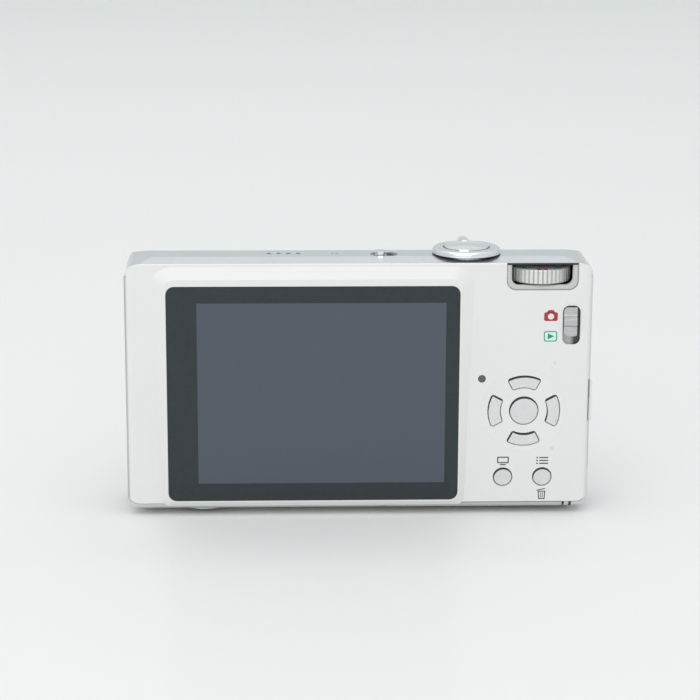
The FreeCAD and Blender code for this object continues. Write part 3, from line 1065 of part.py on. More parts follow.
status_lamp = status_lamp.fuse(rod_y(LAMP_X, LAMP_Z, LAMP_R + 0.3, INNER_REAR_Y + SEAM / 2,
                                     KEY_BOARD_Y0 - 0.02))
status_lamp = status_lamp.removeSplitter()
key_board = key_board.fuse(slider_switch).removeSplitter()

# ---------------------------------------------------------------- rear keys
def key_piece(cap, flange, x, z):
    stem = rod_y(x, z, STEM_R, INNER_REAR_Y, STEM_TIP_Y)
    return fused([cap, flange, stem])


def round_key(x, z, radius):
    cap = rod_y(x, z, radius, KEY_TOP_Y, KEY_FLANGE_Y0 + 0.1)
    front = [edge for edge in cap.Edges if edge.Closed and edge.CenterOfMass.y < KEY_TOP_Y + 0.01]
    cap = cap.makeFillet(0.25, front)
    flange = rod_y(x, z, radius + KEY_FLANGE, KEY_FLANGE_Y0, KEY_FLANGE_Y1)
    return key_piece(cap, flange, x, z)


def cursor_key(angle):
    cap = cursor_slab(angle, 0.0, KEY_TOP_Y, KEY_FLANGE_Y0 + 0.1)
    front = [edge for edge in cap.Edges if edge.BoundBox.YMax < KEY_TOP_Y + 0.01]
    cap = cap.makeChamfer(0.12, front)
    flange = cursor_slab(angle, KEY_FLANGE, KEY_FLANGE_Y0, KEY_FLANGE_Y1)
    spot = pad_point((CURSOR_IN_R + CURSOR_OUT_R) / 2, angle, 0)
    return key_piece(cap, flange, spot.x, spot.z)


keys = {name: round_key(*place) for name, place in ROUND_KEYS.items()}
for name, angle in CURSOR_ANGLES.items():
    keys["cursor_key_" + name] = cursor_key(angle)

# Mode slider: thumb piece with a raised band, stem through the cover and a clip behind it
slider_top_z = slot_area[3] - MOVE_GAP
slider_area = (slot_area[0] + SLIDER_GAP, slot_area[1] - SLIDER_GAP,
               slider_top_z - SLIDER_H, slider_top_z)
slider_y0 = REAR_FACE_Y - SLIDER_PROUD
slider_r = SLIDER_SLOT_R - SLIDER_GAP
mode_slider = slab(rectangle(*slider_area, slider_r), "xz", slider_y0,
                   REAR_FACE_Y + SLIDER_DEPTH - 0.05)
band_z0 = (slider_area[2] + slider_area[3] - SLIDER_BAND_H) / 2
band = box(slider_area[0] + 0.1, slider_area[1] - 0.1, slider_y0 - SLIDER_BAND_PROUD,
           slider_y0 + 0.2, band_z0, band_z0 + SLIDER_BAND_H)
band = band.makeChamfer(0.12, [edge for edge in band.Edges
                               if edge.BoundBox.YMax < slider_y0 and edge.BoundBox.XLength > 1])
mode_slider = mode_slider.cut(Part.makeCompound([
    box(slider_area[0], slider_area[1], slider_y0 - 1, slider_y0 + 0.12, z - 0.1, z + 0.1)
    for z in (band_z0 - 0.1, band_z0 + SLIDER_BAND_H + 0.1)])).fuse(band)
stem_span = (stem_middle_z - SLIDER_STEM_H / 2, stem_middle_z + SLIDER_STEM_H / 2)
slider_stem = box(SLIDER_X - 0.65, SLIDER_X + 0.65, REAR_FACE_Y + 0.3, KEY_FLANGE_Y1,
                  *stem_span)
slider_clip = box(SLIDER_X - 1.4, SLIDER_X + 1.4, KEY_FLANGE_Y0, KEY_FLANGE_Y1, *stem_span)
mode_slider = fused([mode_slider, slider_stem, slider_clip])

# ---------------------------------------------------------------- top controls
dial_top_z = DIAL_Z + DIAL_T
mode_dial = rod_z(DIAL_X, DIAL_Y, DIAL_R, DIAL_Z, dial_top_z)
mode_dial = mode_dial.makeFillet(0.25, [edge for edge in mode_dial.Edges if edge.Closed])
grooves = []
for step in range(DIAL_GROOVES):
    turn = 2 * math.pi * (step + 0.5) / DIAL_GROOVES
    grooves.append(rod_z(DIAL_X + DIAL_R * math.cos(turn), DIAL_Y + DIAL_R * math.sin(turn),
                         DIAL_GROOVE_R, DIAL_Z - 1, dial_top_z + 1))
mode_dial = mode_dial.cut(Part.makeCompound(grooves))
mode_dial = mode_dial.fuse(rod_z(DIAL_X, DIAL_Y, DIAL_SHAFT_R, TOP_BOARD_TOP_Z + 0.1, DIAL_Z))

ring_top_z = BODY_H + RING_GAP + RING_H
plate_z1 = TOP_INNER_Z - 0.85
plate_z0 = plate_z1 - 0.5
zoom_ring = rod_z(RING_X, RING_Y, RING_R, BODY_H + RING_GAP, ring_top_z)
zoom_ring = zoom_ring.makeFillet(0.7, [
    edge for edge in zoom_ring.Edges
    if edge.Closed and edge.BoundBox.ZMin > ring_top_z - 0.01])
tab_y1 = RING_Y + RING_R + LEVER_TAB_OUT
tab_z0 = BODY_H + MOVE_GAP + 0.05
tab_z1 = BODY_H + LEVER_TAB_H
lever_tab = slab([(RING_X - LEVER_TAB_W / 2, tab_z0, 0), (RING_X + LEVER_TAB_W / 2, tab_z0, 0),
                  (RING_X + LEVER_TAB_W / 2, tab_z1, LEVER_TAB_R),
                  (RING_X - LEVER_TAB_W / 2, tab_z1, LEVER_TAB_R)], "xz",
                 RING_Y + RING_R - 2.2, tab_y1)
neck = rod_z(RING_X, RING_Y, RING_NECK_R, plate_z0, BODY_H + RING_GAP)
clip_disc = rod_z(RING_X, RING_Y, RING_NECK_R + 0.7, plate_z0, plate_z1)
wiper = box(RING_X - 0.6, RING_X + 0.6, RING_Y - RING_NECK_R - 1.2, RING_Y, plate_z0, plate_z1)
zoom_lever = fused([zoom_ring, lever_tab, neck, clip_disc, wiper])
zoom_lever = zoom_lever.cut(Part.makeCompound([
    rod_z(RING_X, RING_Y, RING_BORE_R, plate_z0 + 0.5, BODY_H + 3),
    rod_z(RING_X, RING_Y, BUTTON_STEM_R + MOVE_GAP, plate_z0 - 1, BODY_H)]))

button_top_z = BODY_H + BUTTON_TOP
button_under_z = plate_z1 + 2.2
cap_flat_z = button_top_z - 0.35
shutter_button = rod_z(RING_X, RING_Y, BUTTON_R, button_under_z, cap_flat_z)
crown_ball_r = (BUTTON_R ** 2 + 0.35 ** 2) / 0.7
crown = Part.makeSphere(crown_ball_r, Vector(RING_X, RING_Y, button_top_z - crown_ball_r))
crown = crown.common(rod_z(RING_X, RING_Y, BUTTON_R, cap_flat_z, button_top_z))
switch_top_z = TOP_BOARD_TOP_Z + 1.5
stem_tip_z = switch_top_z + BUTTON_TRAVEL + SEAM
clip_top_z = plate_z0 - SEAM
shutter_button = fused([
    shutter_button, crown,
    rod_z(RING_X, RING_Y, BUTTON_STEM_R, stem_tip_z, button_under_z),
    rod_z(RING_X, RING_Y, BUTTON_STEM_R + 0.6, clip_top_z - 0.4, clip_top_z)])

spring_z0 = plate_z1 + SPRING_WIRE_R + 0.02
spring_h = button_under_z - 0.02 - SPRING_WIRE_R - spring_z0
coil = Part.makeHelix(spring_h / SPRING_TURNS, spring_h, SPRING_R)
wire_end = Part.Wire([Part.makeCircle(SPRING_WIRE_R, Vector(SPRING_R, 0, 0), Vector(0, 1, 0))])
shutter_spring = Part.Wire(coil.Edges).makePipeShell([wire_end], True, True)
shutter_spring.translate(Vector(RING_X, RING_Y, spring_z0))

# Power switch: a small knob in its slot, at the off end
nub_x0 = power_area[0] + POWER_START
power_knob = fused([
    slab(rectangle(nub_x0 - 0.25, nub_x0 + POWER_NUB_W + 0.1, POWER_Y - 1.25, POWER_Y + 1.25,
                   0.5), "xy", BODY_H - 0.27, BODY_H - 0.02),
    slab(rectangle(nub_x0, nub_x0 + POWER_NUB_W, POWER_Y - 1.2, POWER_Y + 1.2, 0.4), "xy",
         BODY_H - 0.1, BODY_H + POWER_NUB_H),
    box(nub_x0 + 0.3, nub_x0 + POWER_NUB_W - 0.3, POWER_Y - 0.5, POWER_Y + 0.5,
        TOP_BOARD_TOP_Z + 1.6, BODY_H - 0.2),
    box(nub_x0 - 0.6, nub_x0 + POWER_NUB_W + 0.6, power_area[2] - 0.5, power_area[3] + 0.5,
        TOP_INNER_Z - SEAM / 2 - 0.5, TOP_INNER_Z - SEAM / 2)])

speaker_z1 = TOP_INNER_Z - 3 * SEAM
speaker = rod_z(SPEAKER_X, SPEAKER_Y, SPEAKER_R, speaker_z1 - 2.2, speaker_z1)
speaker = speaker.cut(rod_z(SPEAKER_X, SPEAKER_Y, SPEAKER_R - 0.6, speaker_z1 - 0.3,
                            TOP_INNER_Z))
top_board = slab(rectangle(TOP_BOARD_X0, HALF_W - TOP_BOARD_IN, TOP_BOARD_Y0, TOP_BOARD_Y1, 0.6),
                 "xy", TOP_BOARD_Z, TOP_BOARD_TOP_Z)
mic_z1 = TOP_INNER_Z - SEAM
top_components = [
    box(RING_X - 2.2, RING_X + 2.2, RING_Y - 2.2, RING_Y + 2.2, TOP_BOARD_TOP_Z, switch_top_z),
    box(POWER_X - 3.2, POWER_X + 3.2, POWER_Y - 1.7, POWER_Y + 1.7, TOP_BOARD_TOP_Z,
        TOP_BOARD_TOP_Z + 1.5),
    rod_z(MIC_X, SPEAKER_Y, 1.5, TOP_BOARD_TOP_Z, mic_z1),
    rod_z(DIAL_X, DIAL_Y, 4.0, TOP_BOARD_TOP_Z, DIAL_Z - SEAM)]
top_board = fused([top_board] + top_components)
top_board = top_board.cut(rod_z(DIAL_X, DIAL_Y, DIAL_SHAFT_R + 0.05, TOP_BOARD_TOP_Z,
                                DIAL_Z + 1))

# ---------------------------------------------------------------- flash
flash_y0 = FRONT_INNER_Y - FLASH_DEPTH
tube_y = FRONT_INNER_Y - 2.0
flash_unit = box(flash_area[0] + 0.2, flash_area[1] - 0.2, flash_y0,
                 FRONT_INNER_Y - SEAM / 2, flash_area[2] + 0.2, flash_area[3] - 0.2)
flash_unit = flash_unit.makeFillet(1.2, [
    edge for edge in flash_unit.Edges if edge.BoundBox.YMax < flash_y0 + 0.01
    and edge.BoundBox.XLength > FLASH_W / 2])
flash_unit = flash_unit.cut(box(flash_area[0] + 0.8, flash_area[1] - 0.8, flash_y0 + 2.0,
                                FRONT_FACE_Y, flash_area[2] + 0.7, flash_area[3] - 0.7))
flash_unit = flash_unit.cut(rod_x(tube_y, FLASH_Z, FLASH_TUBE_R + 0.02, *flash_area[:2]))
flash_tube = rod_x(tube_y, FLASH_Z, FLASH_TUBE_R, flash_area[0] + 0.2, flash_area[1] - 0.2)
flash_unit = Part.makeCompound([flash_unit, flash_tube])
flash_capacitor = rod_z(CAPACITOR_X, -1.8, CAPACITOR_R, CAPACITOR_Z0,
                        GEARS_Z - TRAY_HALF - CAPACITOR_GAP)

# ---------------------------------------------------------------- side and base pieces
terminal_door = walls.common(term_space)
terminal_door = terminal_door.cut(box(HALF_W - 0.5, HALF_W, TERM_Y0, TERM_Y0 + 0.4,
                                      TERM_LIP_Z, TERM_LIP_Z + TERM_SCOOP_H))
lip = box(HALF_W - 0.3, HALF_W + TERM_LIP_PROUD, TERM_Y0 + 0.4, TERM_Y0 + 0.4 + TERM_LIP_W,
          TERM_LIP_Z, TERM_Z1 - 0.6)
lip = lip.makeFillet(0.3, [edge for edge in lip.Edges if edge.BoundBox.XMin > HALF_W
                           and edge.BoundBox.ZLength > 1])
terminal_door = terminal_door.fuse(lip).removeSplitter()
strap_eyelet = box(HALF_W - STRAP_DEPTH, HALF_W - 0.1, STRAP_Y - STRAP_W / 2 + SEAM / 2,
                   STRAP_Y + STRAP_W / 2 - SEAM / 2, STRAP_Z - STRAP_H / 2 + SEAM / 2,
                   STRAP_Z + STRAP_H / 2 - SEAM / 2)
strap_eyelet = strap_eyelet.cut(box(HALF_W - STRAP_DEPTH + 0.5, HALF_W + 1,
                                    STRAP_Y - STRAP_W / 2 + 0.5, STRAP_Y + STRAP_W / 2 - 0.5,
                                    STRAP_Z - STRAP_H / 2 + 0.5, STRAP_Z + STRAP_H / 2 - 0.5))
strap_bar = Part.makeCylinder(STRAP_BAR_R, STRAP_W - 0.8,
                              Vector(HALF_W - STRAP_BAR_R - 0.15, STRAP_Y - STRAP_W / 2 + 0.4,
                                     STRAP_Z), Vector(0, 1, 0))
strap_eyelet = strap_eyelet.fuse(strap_bar)
tripod_bush = rod_z(TRIPOD_X, TRIPOD_Y, TRIPOD_FLANGE_R, 0, BASE_Z + WALL + SEAM / 2 + 0.1)
tripod_bush = fused([tripod_bush,
                     rod_z(TRIPOD_X, TRIPOD_Y, TRIPOD_R, BASE_Z + WALL + SEAM / 2,
                           TRIPOD_H + 1.0)])
# flat towards the screen panel
tripod_bush = tripod_bush.cut(box(TRIPOD_X - TRIPOD_R, TRIPOD_X + TRIPOD_R,
                                  TRIPOD_Y - TRIPOD_R - 1, PANEL_Y1 + 0.15,
                                  BASE_Z + WALL + 0.2, TRIPOD_H + 2))
tripod_bush = tripod_bush.cut(rod_z(TRIPOD_X, TRIPOD_Y, TRIPOD_BORE_R, -1, TRIPOD_H))

# ---------------------------------------------------------------- files
nodes = {
    "front_cover": front_cover, "top_cover": top_cover, "rear_cover": rear_cover,
    "dial_bezel": dial_bezel, "lens_trim_ring": lens_trim_ring,
    "flash_window": flash_window, "focus_lamp_lens": focus_lamp_lens.removeSplitter(),
    "status_lamp": status_lamp, "screen_glass": screen_glass, "screen_panel": screen_panel,
    "chassis": chassis, "key_board": key_board, "key_domes": key_domes,
    "main_board": main_board, "board_components": board_components,
    "terminal_jack": terminal_jack, "case_screws": case_screws,
    "tripod_bush": tripod_bush, "strap_eyelet": strap_eyelet, "battery_box": battery_box,
    "battery": battery, "battery_contacts": battery_contacts, "card_socket": card_socket,
    "door_hinge_pin": door_hinge_pin, "flash_unit": flash_unit,
    "flash_capacitor": flash_capacitor, "speaker": speaker, "top_board": top_board,
    "lens_base": lens_base, "image_sensor": image_sensor, "fixed_barrel": fixed_barrel,
    "zoom_motor": zoom_motor, "memory_card": memory_card, "battery_door": battery_door,
    "door_release": door_release, "terminal_door": terminal_door,
    "guide_ring": guide_ring, "cam_ring": cam_ring, "inner_barrel": inner_barrel,
    "front_lens": front_lens, "rear_lens": rear_lens, "front_cap": front_cap,
    "barrier_blade_upper": barrier_blade_upper, "barrier_blade_lower": barrier_blade_lower,
    "long_gear": long_gear, "idler_gear": idler_gear, "motor_gear": motor_gear,
    "shutter_button": shutter_button, "shutter_spring": shutter_spring,
    "zoom_lever": zoom_lever, "power_knob": power_knob, "mode_dial": mode_dial,
    "mode_slider": mode_slider}
nodes.update(keys)
for name, shape in nodes.items():
    shape.exportStep("parts/" + name + ".step")
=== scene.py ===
"""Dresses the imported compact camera: finishes, printed marks, floor, lights and camera."""
import math

import bmesh
import bpy
from mathutils import Matrix, Vector


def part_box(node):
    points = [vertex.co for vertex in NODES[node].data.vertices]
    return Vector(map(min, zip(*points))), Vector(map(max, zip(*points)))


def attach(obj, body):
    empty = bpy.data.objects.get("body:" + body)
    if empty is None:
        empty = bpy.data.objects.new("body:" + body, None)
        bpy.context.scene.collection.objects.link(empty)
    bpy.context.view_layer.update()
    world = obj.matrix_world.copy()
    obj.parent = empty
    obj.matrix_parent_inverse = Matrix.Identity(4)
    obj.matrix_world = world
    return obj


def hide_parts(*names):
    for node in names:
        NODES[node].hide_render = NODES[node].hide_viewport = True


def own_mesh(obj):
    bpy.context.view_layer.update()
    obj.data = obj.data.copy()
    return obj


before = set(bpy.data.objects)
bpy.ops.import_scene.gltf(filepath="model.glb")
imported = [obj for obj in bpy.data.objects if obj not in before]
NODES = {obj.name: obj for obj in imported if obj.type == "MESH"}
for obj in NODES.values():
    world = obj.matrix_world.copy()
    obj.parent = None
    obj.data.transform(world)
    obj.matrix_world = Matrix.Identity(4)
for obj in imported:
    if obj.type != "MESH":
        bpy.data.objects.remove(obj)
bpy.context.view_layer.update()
MM = 0.001
ROUND_Y = (1.0, 0.0, 1.0)       # the axes that count for a distance from a line along Y
ROUND_Z = (1.0, 1.0, 0.0)       # and from a line along Z


# ---------------------------------------------------------------- materials
class Finish:
    """A node material whose grain and wear are laid out in the object's own metres."""

    def __init__(self, name, color, roughness, metallic=0.0):
        self.material = bpy.data.materials.new(name)
        self.material.use_nodes = True
        self.tree = self.material.node_tree
        self.shader = self.tree.nodes["Principled BSDF"]
        self.shader.inputs["Base Color"].default_value = (*color, 1.0)
        self.shader.inputs["Roughness"].default_value = roughness
        self.shader.inputs["Metallic"].default_value = metallic
        self.where = self.tree.nodes.new("ShaderNodeTexCoord").outputs["Object"]
        self.roughness = roughness

    def link(self, output, target):
        self.tree.links.new(output, target)

    def node(self, kind, **inputs):
        """A new node; an underscore in an input's name stands for a space."""
        made = self.tree.nodes.new(kind)
        for name, value in inputs.items():
            made.inputs[name.replace("_", " ")].default_value = value
        return made

    def set(self, **inputs):
        for name, value in inputs.items():
            self.shader.inputs[name.replace("_", " ")].default_value = value
        return self

    def worked(self, kind, operation, values):
        """Outputs of a math node; each value is another node's output or a constant."""
        made = self.tree.nodes.new(kind)
        made.operation = operation
        for value, target in zip(values, made.inputs):
            if isinstance(value, bpy.types.NodeSocket):
                self.link(value, target)
            else:
                target.default_value = value
        return made.outputs

    def calc(self, operation, *values):
        return self.worked("ShaderNodeMath", operation, values)["Value"]

    def calc_vector(self, operation, *values):
        return self.worked("ShaderNodeVectorMath", operation, values)

    def both(self, first, second):
        """Product of two values."""
        return self.calc("MULTIPLY", first, second)

    def span(self, value, low, high, start=0.35, end=0.65):
        """Maps start to end onto low to high; the defaults suit noise."""
        ramp = self.node("ShaderNodeMapRange", From_Min=start, From_Max=end,
                         To_Min=low, To_Max=high)
        self.link(value, ramp.inputs["Value"])
        return ramp.outputs["Result"]

    def below(self, value, edge, soft):
        """1 where a value is under an edge, 0 over it, with a soft change."""
        return self.span(value, 1.0, 0.0, edge - soft, edge + soft)

    # -------- where on the object
    def place(self, axis):
        """Place along one axis, in metres."""
        parts = self.node("ShaderNodeSeparateXYZ")
        self.link(self.where, parts.inputs["Vector"])
        return parts.outputs[axis]

    def off(self, axis, middle):
        """Distance in metres from a plane across one axis."""
        return self.calc("ABSOLUTE", self.calc("SUBTRACT", self.place(axis), middle))

    def distance(self, center, axes):
        """Distance in metres from a point, counting only some axes."""
        shift = self.calc_vector("SUBTRACT", self.where, center)["Vector"]
        flat = self.calc_vector("MULTIPLY", shift, axes)["Vector"]
        return self.calc_vector("LENGTH", flat)["Value"]

    def along(self, axis, low, high):
        """Maps the place along one axis, from low to high, onto 0 to 1."""
        return self.span(self.place(axis), 0.0, 1.0, low, high)

    def inside(self, low, high, soft):
        """1 inside a box in X and Z, 0 outside, with a soft edge."""
        fades = [self.below(self.off(axis, (a + b) / 2), (b - a) / 2, soft)
                 for axis, a, b in (("X", low[0], high[0]), ("Z", low[2], high[2]))]
        return self.both(*fades)

    def near(self, center, axes, radius, soft):
        """1 within a radius of a point, counting only some axes, and 0 beyond a soft edge."""
        return self.below(self.distance(center, axes), radius, soft)

    def ring_sectors(self, center, inner, outer, half_angle, soft):
        """0 on four ring sectors about a centre, along +X, -X, +Z and -Z, and 1 off them."""
        radius = self.distance(center, ROUND_Y)
        ends = (self.off("X", center.x), self.off("Z", center.z))
        longer = self.calc("MULTIPLY", self.calc("MAXIMUM", *ends), math.sin(half_angle))
        shorter = self.calc("MULTIPLY", self.calc("MINIMUM", *ends), math.cos(half_angle))
        on = self.span(self.calc("SUBTRACT", longer, shorter), 0.0, 1.0, -soft, soft)
        on = self.both(on, self.span(radius, 0.0, 1.0, inner - soft, inner + soft))
        on = self.both(on, self.below(radius, outer, soft))
        return self.span(on, 1.0, 0.0)

    def facing(self, way, low, high):
        """Maps how far the surface's own normal points one way onto 0 to 1."""
        normal = self.node("ShaderNodeNewGeometry").outputs["Normal"]
        share = self.calc_vector("DOT_PRODUCT", normal, Vector(way).normalized())["Value"]
        return self.span(share, 0.0, 1.0, low, high)

    # -------- what is done to the surface
    def noise(self, size, detail=2.0, stretch=(1.0, 1.0, 1.0)):
        """Noise with features about size metres across, stretched along some axes."""
        mapping = self.node("ShaderNodeMapping", Scale=[1.0 / (size * s) for s in stretch])
        self.link(self.where, mapping.inputs["Vector"])
        noise = self.node("ShaderNodeTexNoise", Scale=1.0, Detail=detail)
        self.link(mapping.outputs["Vector"], noise.inputs["Vector"])
        return noise.outputs["Fac"]

    def tint(self, value, other, strength=1.0):
        """Mixes the base colour with another one by a value."""
        mix = self.tree.nodes.new("ShaderNodeMix")
        mix.data_type = "RGBA"
        present = self.shader.inputs["Base Color"]
        if present.is_linked:
            self.link(present.links[0].from_socket, mix.inputs["A"])
        else:
            mix.inputs["A"].default_value = present.default_value
        mix.inputs["B"].default_value = (*other, 1.0)
        self.link(self.span(value, 0.0, strength, 0.0, 1.0), mix.inputs["Factor"])
        self.link(mix.outputs["Result"], present)
        return self

    def mottle(self, size, amount):
        """Slight unevenness of colour."""
        return self.tint(self.span(self.noise(size, 3.0), 0.0, 1.0), (0.0, 0.0, 0.0), amount)

    def smudge(self, size, amount):
        """Handling marks, seen as slight changes of gloss."""
        low, high = self.roughness - amount / 2, self.roughness + amount / 2
        self.link(self.span(self.noise(size, 4.0), low, high), self.shader.inputs["Roughness"])
        return self

    def relief(self, height, depth):
        """Raises the surface by a value, up to depth metres."""
        bump = self.node("ShaderNodeBump", Strength=1.0, Distance=depth)
        self.link(height, bump.inputs["Height"])
        self.link(bump.outputs["Normal"], self.shader.inputs["Normal"])
        return self

    def grain(self, size, depth, stretch=(1.0, 1.0, 1.0)):
        """Fine grain of the surface, stretched along some axes."""
        return self.relief(self.noise(size, 2.0, stretch), depth)

    def turned(self, center, axes, pitch, depth):
        """Fine circular tool marks round a centre."""
        turns = self.calc("MULTIPLY", self.distance(center, axes), 2 * math.pi / pitch)
        return self.relief(self.calc("SINE", turns), depth)


def centre(node):
    low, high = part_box(node)
    return (low + high) / 2


def dress(finish, *names):
    for name in names:
        slots = NODES[name].data.materials
        if not slots:
            slots.append(finish.material)
        for index in range(len(slots)):
            slots[index] = finish.material


def mm(x, y, z):
    """A place or a shift given in millimetres."""
    return Vector((x, y, z)) * MM


# ---- Places that several finishes share
bezel_low, bezel_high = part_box("dial_bezel")
slider_low, slider_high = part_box("mode_slider")
door_low, door_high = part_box("terminal_door")
LENS = centre("lens_trim_ring")
pad = centre("menu_button")     # the four cursor keys lie round it
ring_centre = centre("shutter_button")
top_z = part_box("top_cover")[1].z
slider_x = (slider_low.x + slider_high.x) / 2
REAR_Y = bezel_low.y            # the rear cover's face round the controls

# ---- Shades: tints by place on the part, which stand for the shadows of narrow gaps
SHADED = (0.45, 0.0, -0.9)      # down and to the right, away from the light
LIT = (-0.45, 0.0, 0.9)
NEAR_BLACK = (0.02, 0.022, 0.024)
DARK = (0.03, 0.033, 0.035)
EDGE = 0.1 * MM                 # usual half width of a soft edge

# ---- Front and base shell, with painted shade that makes its left side darker
silver = Finish("blasted_aluminium", (0.70, 0.725, 0.73), 0.30, 0.85)
silver.tint(silver.facing((-1, 0, 0), 0.5, 0.9), (0.48, 0.50, 0.505))
# painted shade at the hinge end of the battery door: a dark bar for the shadow in a slot; it is
# painted, since no slot is there
BAR_W = 0.55 * MM
BAR_H = 1.5 * MM
BAR_REACH = 1.8 * MM            # how far it runs forwards
hinge_low, hinge_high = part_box("battery_door")
bar_x = hinge_high.x - 0.1 * MM
bar_y = hinge_low.y + BAR_REACH
hinge_slot_shade = silver.both(silver.inside((bar_x, 0, 0), (bar_x + BAR_W, 0, BAR_H), 0.06 * MM),
                  silver.along("Y", bar_y + 0.2 * MM, bar_y))
silver.tint(hinge_slot_shade, NEAR_BLACK, 0.95)
# the finger scoop beside the terminal cover's lip lies in shadow
SCOOP_W = 1.7 * MM
SCOOP_H = 8.3 * MM
scoop_low = door_high - Vector((10 * MM, 0, SCOOP_H))
scoop = silver.both(silver.along("X", door_high.x - SCOOP_W - 0.2 * MM, door_high.x - SCOOP_W),
                    silver.inside(scoop_low, door_high, EDGE))
scoop = silver.both(scoop, silver.along("Y", door_low.y + 0.3 * MM, door_low.y))
silver.tint(scoop, DARK, 0.8)
silver.mottle(9 * MM, 0.03).smudge(6 * MM, 0.05).grain(0.09 * MM, 0.003 * MM)
dress(silver, "front_cover")

# ---- Top cover, with painted light that makes it paler where it leans to the rear
top_silver = Finish("brushed_top_plate", (0.70, 0.735, 0.74), 0.19, 0.85)
top_silver.tint(top_silver.facing((0, -1, 0), 0.03, 0.09), (0.80, 0.835, 0.845))
# its edge over the dial lies in shadow
roof = top_silver.inside(bezel_low, bezel_high + mm(0, 0, 5), 0.05 * MM)
top_silver.tint(top_silver.both(roof, top_silver.facing((0, -1, 0), 0.12, 0.5)),
                (0.04, 0.045, 0.05))
top_silver.mottle(9 * MM, 0.03).smudge(6 * MM, 0.05).grain(0.09 * MM, 0.002 * MM)
dress(top_silver, "top_cover")

# ---- Rear cover
WHITE = (0.755, 0.755, 0.745)
white = Finish("white_lacquer", WHITE, 0.30)
white.set(Coat_Weight=0.3, Coat_Roughness=0.15)
# a faint line of painted shade round the field of the keys
FIELD_R = 8.45 * MM
FIELD_LINE = 0.3 * MM
for radius, color, strength in ((FIELD_R + FIELD_LINE, (0.70, 0.70, 0.69), 0.35),
                                (FIELD_R, WHITE, 1.0)):
    white.tint(white.near(pad, ROUND_Y, radius, 0.12 * MM), color, strength)
# small marks of wear: place from the middle of the keys, and radius
for spot_x, spot_z, spot_r in ((6.1, 10.0, 0.3), (5.9, -7.9, 0.4), (5.5, 9.0, 0.15)):
    spot = white.near(pad + mm(spot_x, 0, spot_z), ROUND_Y, spot_r * MM, 0.25 * MM)
    white.tint(spot, (0.45, 0.46, 0.47), 0.35)
# painted shadow on the upper walls of the openings round the keys and the slider, and painted
# light on their lower walls
keys_low = Vector((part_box("status_lamp")[0].x, 0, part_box("display_button")[0].z)) - mm(2, 2, 2)
keys_high = slider_high + mm(2, 2, 2)
sunk = white.along("Y", REAR_Y + 0.15 * MM, REAR_Y + 0.45 * MM)
sunk = white.both(sunk, white.inside(keys_low, keys_high, 0.2 * MM))
white.tint(white.both(sunk, white.facing(SHADED, -0.3, 0.3)), (0.05, 0.055, 0.06), 0.95)
white.tint(white.both(sunk, white.facing(LIT, 0.3, 0.7)), (0.95, 0.95, 0.95), 0.9)
# painted shade in the slider's slot: grey, and dark towards the right
slot = white.both(white.along("Y", REAR_Y + 0.15 * MM, REAR_Y + 0.3 * MM),
                  white.inside(slider_low - mm(0.5, 0, 2.0), slider_high + mm(0.5, 0, 0.5), EDGE))
white.tint(slot, (0.42, 0.44, 0.44), 0.9)
white.tint(white.both(slot, white.along("X", slider_x - 0.1 * MM, slider_x + 0.7 * MM)),
           NEAR_BLACK, 0.97)
# the left edge is grey like the silver shell beside it, and darker with painted shade like the
# shell's left side
RIM_W = 0.45 * MM
rim_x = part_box("rear_cover")[0].x + RIM_W
rim = white.both(white.facing((-1, 0, 0), 0.55, 0.8), white.along("X", rim_x + 0.3 * MM, rim_x))
white.tint(rim, (0.40, 0.42, 0.43), 0.9)
white.mottle(14 * MM, 0.015).smudge(8 * MM, 0.03).grain(0.25 * MM, 0.0008 * MM)
dress(white, "rear_cover")

bezel = Finish("bezel_grey", (0.54, 0.55, 0.525), 0.33)
bezel.mottle(3 * MM, 0.04).smudge(2 * MM, 0.08)
dress(bezel, "dial_bezel")

# ---- Screen: a dark printed border round the picture area, seen through a polished face
PANEL_FRAME = 1.6 * MM
panel_low, panel_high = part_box("screen_panel")
frame_wide = Vector((PANEL_FRAME, 0, PANEL_FRAME))
glass = Finish("screen_glass_printed", (0.008, 0.017, 0.021), 0.10)
glass.set(Coat_Weight=0.15, Coat_Roughness=0.06, IOR=1.46)
glass.tint(glass.inside(panel_low + frame_wide, panel_high - frame_wide, 0.05 * MM),
           (0.058, 0.074, 0.101))
glass.tint(glass.span(glass.noise(0.9 * MM, 3.0), 0.0, 1.0), (0.05, 0.058, 0.070), 0.06)
glass.mottle(25 * MM, 0.02).smudge(7 * MM, 0.01)
dress(glass, "screen_glass")

# ---- Keys: each has a dark crescent at its upper left, the shadow of its opening
KEY_FLANGE = 0.5 * MM           # hidden rim of a key behind the rear cover
CURSOR_KEY_W = 2.5 * MM         # of the ring that the cursor keys are cut from
CURSOR_HALF_ANGLE = math.radians(27.8)
CRESCENT_SHIFT = mm(0.12, 0, -0.4)      # the light comes from the upper left
CRESCENT = (0.02, 0.023, 0.026)
KEY_COLOR = (0.70, 0.715, 0.715)
key_silver = Finish("key_silver_white", KEY_COLOR, 0.30, 0.35)
key_silver.mottle(2 * MM, 0.04).smudge(1.5 * MM, 0.08)
cursor_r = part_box("cursor_key_up")[1].z - pad.z - KEY_FLANGE
crescents = key_silver.ring_sectors(pad + CRESCENT_SHIFT, cursor_r - CURSOR_KEY_W, cursor_r,
                                    CURSOR_HALF_ANGLE, 0.06 * MM)
key_silver.tint(crescents, CRESCENT, 0.97)
dress(key_silver, "cursor_key_up", "cursor_key_left", "cursor_key_down",
      "cursor_key_right")
for key in ("menu_button", "display_button", "quick_menu_button"):
    spun = Finish("spun_" + key, KEY_COLOR, 0.28, 0.5)
    spun.mottle(2 * MM, 0.04)
    low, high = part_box(key)
    lit = spun.near(centre(key) + CRESCENT_SHIFT, ROUND_Y, (high.x - low.x) / 2 - KEY_FLANGE,
                    0.07 * MM)
    spun.tint(spun.span(lit, 1.0, 0.0), CRESCENT, 0.97)
    spun.turned(centre(key), ROUND_Y, 0.16 * MM, 0.002 * MM)
    dress(spun, key)
